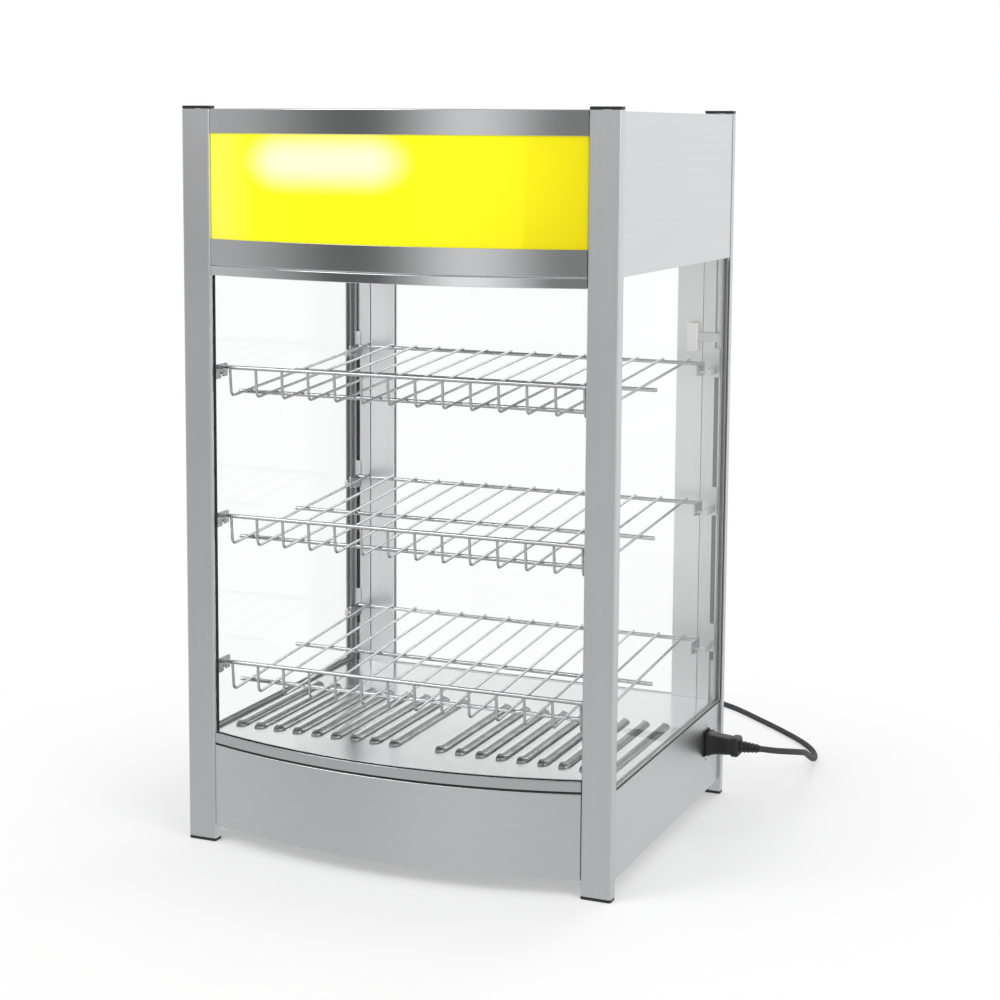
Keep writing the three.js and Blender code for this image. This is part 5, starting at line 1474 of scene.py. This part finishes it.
class CASE_OT_cabinet(PieceOperator):
    """Dress the posts, panels, glass sides, door and heating parts"""

    bl_idname = "case.cabinet"
    bl_label = "Dress Cabinet"

    def build(self, sizes):
        edge = sizes.edge
        for end in ("front_left", "front_right", "rear_left", "rear_right"):
            dress_node(end + "_post", "post_metal", 0.0)
            dress_node(end + "_post_cap", "black_moulding", edge)
            dress_node(end + "_post_foot", "black_moulding", edge)
        for side in ("left", "right"):
            dress_node(side + "_side_glass", "pane_glass", edge)
            dress_node(side + "_glass_seal", "seal_rubber", edge / 2)
            # A black bead paints the shade in the seal's groove.
            self.bead(side)
        for node, look, rounding in (
            ("header_cover", "side_steel", 0.0),
            ("header_floor", "plated_steel", 0.0),
            ("plinth_left_panel", "side_steel", edge),
            ("plinth_right_panel", "side_steel", edge / 2),
            ("plinth_back_panel", "front_steel", edge / 2),
            ("base_plate", "plated_steel", 0.0),
            ("door_frame", "frame_metal", 0.0),
            ("door_glass", "pane_glass", edge),
            ("upper_hinge_bracket", "polished_steel", edge / 2),
            ("lower_hinge_bracket", "polished_steel", edge / 2),
            ("upper_hinge_leaf", "polished_steel", edge / 2),
            ("lower_hinge_leaf", "polished_steel", edge / 2),
            ("catch_strike", "polished_steel", edge / 2),
            ("lamp_batten", "white_moulding", 0.0),
            ("lamp_tube", "lamp_tube", 0.0),
            ("thermostat", "plated_steel", 0.0),
            ("switch_housing", "black_moulding", edge),
            ("heat_switch_rocker", "green_moulding", edge),
            ("heating_element", "element_metal", 0.0),
        ):
            dress_node(node, look, rounding)
        self.inlet()
        self.catch()
        self.handle()
        self.knob()
        self.rocker_marks()
        self.screws()

    def bead(self, side):
        """The black bead down a seal's rear band and along its sill: painted shade of the seal's
        groove.
        """
        low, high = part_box(side + "_glass_seal")
        x = low.x + BEAD_RADIUS / 2 if side == "left" else high.x - BEAD_RADIUS / 2
        y = high.y - BEAD_INSET
        bm = bmesh.new()
        sill = low.z + BEAD_SILL_RISE
        run = [(x, y, high.z - BEAD_INSET), (x, y, sill), (x, low.y + BEAD_INSET, sill)]
        path = bent_path(run, BEAD_INSET, BEND_STEPS)
        add_tube(bm, path, BEAD_RADIUS, BEAD_SIDES, DOME_STEPS)
        make_piece(bm, side + "_seal_bead", "cabinet", "black_rubber")

    def inlet(self):
        """The mains inlet's flange round the connector, and its body inside the plinth."""
        low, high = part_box("power_inlet")
        plug_low, plug_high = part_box("cord_connector")
        middle = (plug_low.z + plug_high.z) / 2
        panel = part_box("plinth_right_panel")[1].x
        bm = bmesh.new()
        flange, shell, hollow = (
            soft_rectangle(
                low.y + inset, high.y - inset,
                middle - INLET_HALF_HEIGHT + inset, middle + INLET_HALF_HEIGHT - inset, corner,
            )
            for inset, corner in (
                (0, INLET_CORNER), (INLET_BODY_INSET / 2, INLET_CORNER),
                (INLET_BODY_INSET, INLET_CORNER / 2),
            )
        )
        add_plate(bm, [flange, hollow], panel, panel + INLET_FLANGE, INLET_FLANGE / 4, "x")
        add_plate(bm, [shell, hollow], low.x, panel + RAIL_BITE, 0.0, "x")
        add_plate(bm, [shell], low.x - RAIL_BITE, low.x + INLET_FLANGE, 0.0, "x")
        make_piece(
            bm, "inlet_shell", "cabinet", "black_moulding", ["power_inlet"]
        )

    def catch(self):
        """The magnetic catch's block, and the arm that holds it to the post."""
        low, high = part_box("door_catch")
        middle = (low.z + high.z) / 2
        face = high.y - CATCH_GAP + CATCH_ARM / 4
        block = soft_rectangle(low.x, low.x + CATCH_BLOCK_WIDTH, low.z, high.z, CATCH_CORNER)
        bm = bmesh.new()
        add_plate(bm, [block], low.y, face, CATCH_CORNER / 4, "y")
        make_piece(bm, "catch_block", "cabinet", "white_moulding", ["door_catch"])
        arm = bmesh.new()
        tall = (middle - CATCH_ARM_HALF_HEIGHT, middle + CATCH_ARM_HALF_HEIGHT)
        bar = rectangle(low.x + CATCH_BLOCK_WIDTH - RAIL_BITE, high.x, *tall)
        add_plate(arm, [bar], face - CATCH_ARM, face, CATCH_ARM / 5, "y")
        foot = rectangle(high.x - CATCH_FOOT_WIDTH, high.x, *tall)
        add_plate(arm, [foot], face - CATCH_ARM / 2, high.y, CATCH_ARM / 5, "y")
        make_piece(arm, "catch_arm", "cabinet", "plated_steel")

    def handle(self):
        """A bent round bar on two round feet."""
        low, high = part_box("door_handle")
        body = frame["nodes"]["door_handle"]["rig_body"]
        x = (low.x + high.x) / 2
        bar_y = high.y - HANDLE_RADIUS
        ends = (low.z + HANDLE_FOOT_RADIUS, high.z - HANDLE_FOOT_RADIUS)
        points = [
            (x, low.y + RAIL_BITE, ends[0]), (x, bar_y, ends[0]),
            (x, bar_y, ends[1]), (x, low.y + RAIL_BITE, ends[1]),
        ]
        bm = bmesh.new()
        path = bent_path(points, HANDLE_BEND, HANDLE_BEND_STEPS)
        add_tube(bm, path, HANDLE_RADIUS, HANDLE_SIDES)
        profile = [
            (HANDLE_FOOT_RADIUS, 0), (HANDLE_FOOT_RADIUS, HANDLE_FOOT_HEIGHT - HANDLE_FOOT_EDGE),
            (HANDLE_FOOT_RADIUS - HANDLE_FOOT_EDGE, HANDLE_FOOT_HEIGHT),
        ]
        for z in ends:
            add_lathe(bm, profile, backwards((x, low.y, z)), HANDLE_FOOT_SIDES)
        make_piece(bm, "handle_bar", body, "polished_steel", ["door_handle"])

    def knob(self):
        """A fluted knob with a skirt and a pointer, and its dial."""
        low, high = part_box("thermostat_knob")
        body = frame["nodes"]["thermostat_knob"]["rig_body"]
        centre = (low + high) / 2
        radius = (high.x - low.x) / 2
        tall = high.y - low.y
        edge = KNOB_CHAMFER / 2
        profile = [
            (radius, 0), (radius, KNOB_SKIRT - edge), (radius - edge, KNOB_SKIRT),
            (KNOB_GRIP_RADIUS + edge, KNOB_SKIRT), (KNOB_GRIP_RADIUS, KNOB_SKIRT + KNOB_CHAMFER),
            (KNOB_GRIP_RADIUS, tall - 2 * KNOB_CHAMFER),
            (part_way(KNOB_GRIP_RADIUS, KNOB_CROWN_RADIUS, 1 / 2), tall - edge),
            (KNOB_CROWN_RADIUS, tall),
        ]

        def flute(size, height, angle):
            if height <= KNOB_SKIRT:
                return size
            return size - KNOB_FLUTE_DEPTH * (1 + math.cos(KNOB_FLUTES * angle)) / 2

        bm = bmesh.new()
        add_lathe(bm, profile, backwards((centre.x, low.y, centre.z)), KNOB_SIDES, flute)
        make_piece(bm, "knob", body, "black_moulding", ["thermostat_knob"])
        pointer = bmesh.new()
        line = rectangle(
            centre.x - POINTER_HALF_WIDTH, centre.x + POINTER_HALF_WIDTH,
            centre.z + POINTER_INSET, centre.z + KNOB_CROWN_RADIUS - edge,
        )
        add_plate(pointer, [line], high.y - MARK_SINK, high.y + MARK_HEIGHT, 0.0, "y")
        make_piece(pointer, "knob_pointer", body, "white_mark")
        self.dial(Vector((centre.x, centre.z)))

    def dial(self, middle):
        """The ticks round the knob, on the back panel."""
        ticks = bmesh.new()
        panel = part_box("plinth_back_panel")[1].y
        for index in range(DIAL_TICKS):
            angle = DIAL_SWEEP * (index / (DIAL_TICKS - 1) - 1 / 2)
            away = Vector((math.sin(angle), math.cos(angle)))
            aside = Vector((away.y, -away.x)) * DIAL_TICK_HALF_WIDTH
            start = middle + away * DIAL_TICK_START
            end = middle + away * DIAL_TICK_END
            outline = [start - aside, start + aside, end + aside, end - aside]
            add_plate(ticks, [outline], panel - MARK_SINK, panel + MARK_HEIGHT, 0.0, "y")
        make_piece(ticks, "dial_ticks", "cabinet", "black_moulding")

    def rocker_marks(self):
        """The line and ring on the rocker's two halves."""
        low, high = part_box("heat_switch_rocker")
        node = frame["nodes"]["heat_switch_rocker"]
        tree = surface(node)
        x = (low.x + high.x) / 2
        tall = high.z - low.z
        marks = bmesh.new()
        for share, ring in ((ROCKER_RING_SHARE, True), (1 - ROCKER_RING_SHARE, False)):
            spot, normal = hit_from_back(tree, x, low.z + tall * share)
            turn = normal.to_track_quat("Z", "Y").to_matrix().to_4x4()
            part = bmesh.new()
            if ring:
                outlines = [
                    [(size * math.cos(t), size * math.sin(t)) for t in full_turn(ROCKER_RING_SIDES)]
                    for size in (ROCKER_RING_RADIUS, ROCKER_RING_RADIUS - ROCKER_LINE)
                ]
            else:
                wide, tip = ROCKER_LINE / 2, ROCKER_RING_RADIUS
                outlines = [rectangle(-wide, wide, -tip, tip)]
            add_plate(part, outlines, -MARK_SINK, MARK_HEIGHT)
            part.transform(Matrix.Translation(spot) @ turn)
            add_part(marks, part)
        make_piece(marks, "rocker_marks", node["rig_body"], "white_mark")

    def screws(self):
        """Screw heads on the hinges and the back panel."""
        for level in ("upper", "lower"):
            for part in ("bracket", "leaf"):
                node = "%s_hinge_%s" % (level, part)
                low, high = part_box(node)
                share = HINGE_SCREW_SHARE if part == "bracket" else 1 - HINGE_SCREW_SHARE
                x = part_way(low.x, high.x, share)
                spots = [(x, part_way(low.z, high.z, rise)) for rise in HINGE_SCREW_RISES]
                self.screw_heads(node, spots)
        low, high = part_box("plinth_back_panel")
        self.screw_heads("plinth_back_panel", [
            (part_way(low.x, high.x, share), high.z - PANEL_SCREW_DROP)
            for share in PANEL_SCREW_SHARES
        ])

    def screw_heads(self, node, spots):
        """Domed heads with a cross slot, on the node's back face."""
        source = frame["nodes"][node]
        tree = surface(source)
        heads = bmesh.new()
        profile = [(SCREW_RADIUS, -MARK_SINK)]
        for step in range(SCREW_STEPS + 1):
            turn = math.pi / 2 * step / (SCREW_STEPS + 1)
            profile.append((SCREW_RADIUS * math.cos(turn), SCREW_RISE * math.sin(turn)))
        for x, z in spots:
            spot = hit_from_back(tree, x, z)[0]
            add_lathe(heads, profile, backwards(spot), SCREW_SIDES, screw_cross)
        make_piece(heads, node + "_screws", source["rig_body"], "polished_steel")


class CASE_OT_stage(PieceOperator):
    """Set up the floor, the lamps and the world"""

    bl_idname = "case.stage"
    bl_label = "Set Up Stage"

    def build(self, sizes):
        scene = bpy.context.scene
        stage = scene.case_stage
        scene.view_settings.view_transform = "Standard"
        self.floor(stage)
        self.world(stage)
        for name, place, aim, size, power in LAMPS:
            self.lamp(name, place, aim, size, power * stage.lamps)

    def lamp(self, name, place, aim, size, power):
        """A square soft lamp at place, turned to aim."""
        data = bpy.data.lights.new(name, "AREA")
        data.shape = "SQUARE"
        data.size = size
        data.energy = power
        lamp = bpy.data.objects.new(name, data)
        lamp.location = place
        lamp.rotation_euler = (Vector(aim) - Vector(place)).to_track_quat("-Z", "Y").to_euler()
        bpy.context.scene.collection.objects.link(lamp)

    def floor(self, stage):
        """A plain pale floor under the case."""
        half = stage.floor / 2
        bm = bmesh.new()
        bm.faces.new([bm.verts.new((x, y, 0)) for x, y in rectangle(-half, half, -half, half)])
        mesh = bpy.data.meshes.new("floor")
        bm.to_mesh(mesh)
        bm.free()
        tree = new_look("floor")
        card = tree.add("ShaderNodeBsdfDiffuse", {"Color": grey(0.97)})
        white = tree.add("ShaderNodeEmission", {"Color": grey(1.0), "Strength": 1.0})
        clear = tree.add("ShaderNodeBsdfTransparent")
        path = tree.add("ShaderNodeLightPath")
        away = tree.add("ShaderNodeVectorMath", {0: tree.place()}, operation="LENGTH")
        far = tree.ease(away.outputs["Value"], FLOOR_FADE_START, FLOOR_FADE_END, FLOOR_LEAST_WHITE)
        share = tree.math("MULTIPLY", tree.seen(path), far)
        fade = tree.add("ShaderNodeMixShader", {
            0: share, 1: card.outputs[0], 2: white.outputs[0],
        })
        whole = tree.add("ShaderNodeMixShader", {
            0: path.outputs["Is Glossy Ray"], 1: fade.outputs[0], 2: clear.outputs[0],
        })
        tree.finish(whole.outputs[0])
        mesh.materials.append(tree.owner)
        floor = bpy.data.objects.new("floor", mesh)
        bpy.context.scene.collection.objects.link(floor)

    def world(self, stage):
        """Even light, with soft tones for what metal mirrors and white for the camera."""
        world = bpy.data.worlds.new("World")
        bpy.context.scene.world = world
        tree = NodeTree(world, "ShaderNodeOutputWorld")
        coordinates = tree.add("ShaderNodeTexCoord").outputs["Generated"]
        split = tree.add("ShaderNodeSeparateXYZ", {0: coordinates})
        front = tree.math("MULTIPLY", split.outputs["Y"], -1.0)
        turn = tree.math("ARCTAN2", split.outputs["X"], front)
        share = tree.between(turn, 0.0, 1.0, -math.pi, math.pi)
        ramp = tree.add("ShaderNodeValToRGB", {0: share})
        elements = ramp.color_ramp.elements
        for element in elements:
            element.color = grey(WORLD_BACK_TONE)
        for degrees, level in WORLD_TONES:
            element = elements.new((degrees + 180) / 360)
            element.color = grey(level)
        path = tree.add("ShaderNodeLightPath")
        plain = tree.add("ShaderNodeBackground", {"Color": grey(1.0), "Strength": stage.world})
        level = tree.ease(split.outputs["Z"], HORIZON_LOW, HORIZON_HIGH)
        colour = tree.tint(level, grey(FLOOR_TONE), ramp.outputs[0])
        tones = tree.add("ShaderNodeBackground", {"Color": colour, "Strength": 1.0})
        white = tree.add("ShaderNodeBackground", {"Color": grey(1.0), "Strength": 1.0})
        mirrored = tree.add("ShaderNodeMixShader", {
            0: path.outputs["Is Glossy Ray"], 1: plain.outputs[0], 2: tones.outputs[0],
        })
        whole = tree.add("ShaderNodeMixShader", {
            0: tree.seen(path), 1: mirrored.outputs[0], 2: white.outputs[0],
        })
        tree.finish(whole.outputs[0])


PIECES = (
    CASE_OT_camera, CASE_OT_cord, CASE_OT_front, CASE_OT_deck, CASE_OT_racks, CASE_OT_cabinet,
    CASE_OT_stage,
)


class CASE_PT_panel(bpy.types.Panel):
    """The display case's panel in the 3D view's sidebar"""

    bl_label = "Display Case"
    bl_idname = "CASE_PT_panel"
    bl_space_type = "VIEW_3D"
    bl_region_type = "UI"
    bl_category = "Display Case"

    def draw(self, context):
        layout = self.layout
        scene = context.scene
        for group in (scene.case_sizes, scene.case_colours, scene.case_stage):
            column = layout.column()
            for name in group.bl_rna.properties.keys():
                if name not in ("rna_type", "name"):
                    column.prop(group, name)
        for piece in PIECES:
            layout.operator(piece.bl_idname)


CLASSES = (CaseSizes, CaseColours, StageSettings, *PIECES, CASE_PT_panel)


def register():
    for cls in CLASSES:
        bpy.utils.register_class(cls)
    bpy.types.Scene.case_sizes = bpy.props.PointerProperty(type=CaseSizes)
    bpy.types.Scene.case_colours = bpy.props.PointerProperty(type=CaseColours)
    bpy.types.Scene.case_stage = bpy.props.PointerProperty(type=StageSettings)


def unregister():
    del bpy.types.Scene.case_stage
    del bpy.types.Scene.case_colours
    del bpy.types.Scene.case_sizes
    for cls in reversed(CLASSES):
        bpy.utils.unregister_class(cls)


def main():
    register()
    for piece in PIECES:
        group, name = piece.bl_idname.split(".")
        getattr(getattr(bpy.ops, group), name)()


if __name__ == "__main__":
    main()
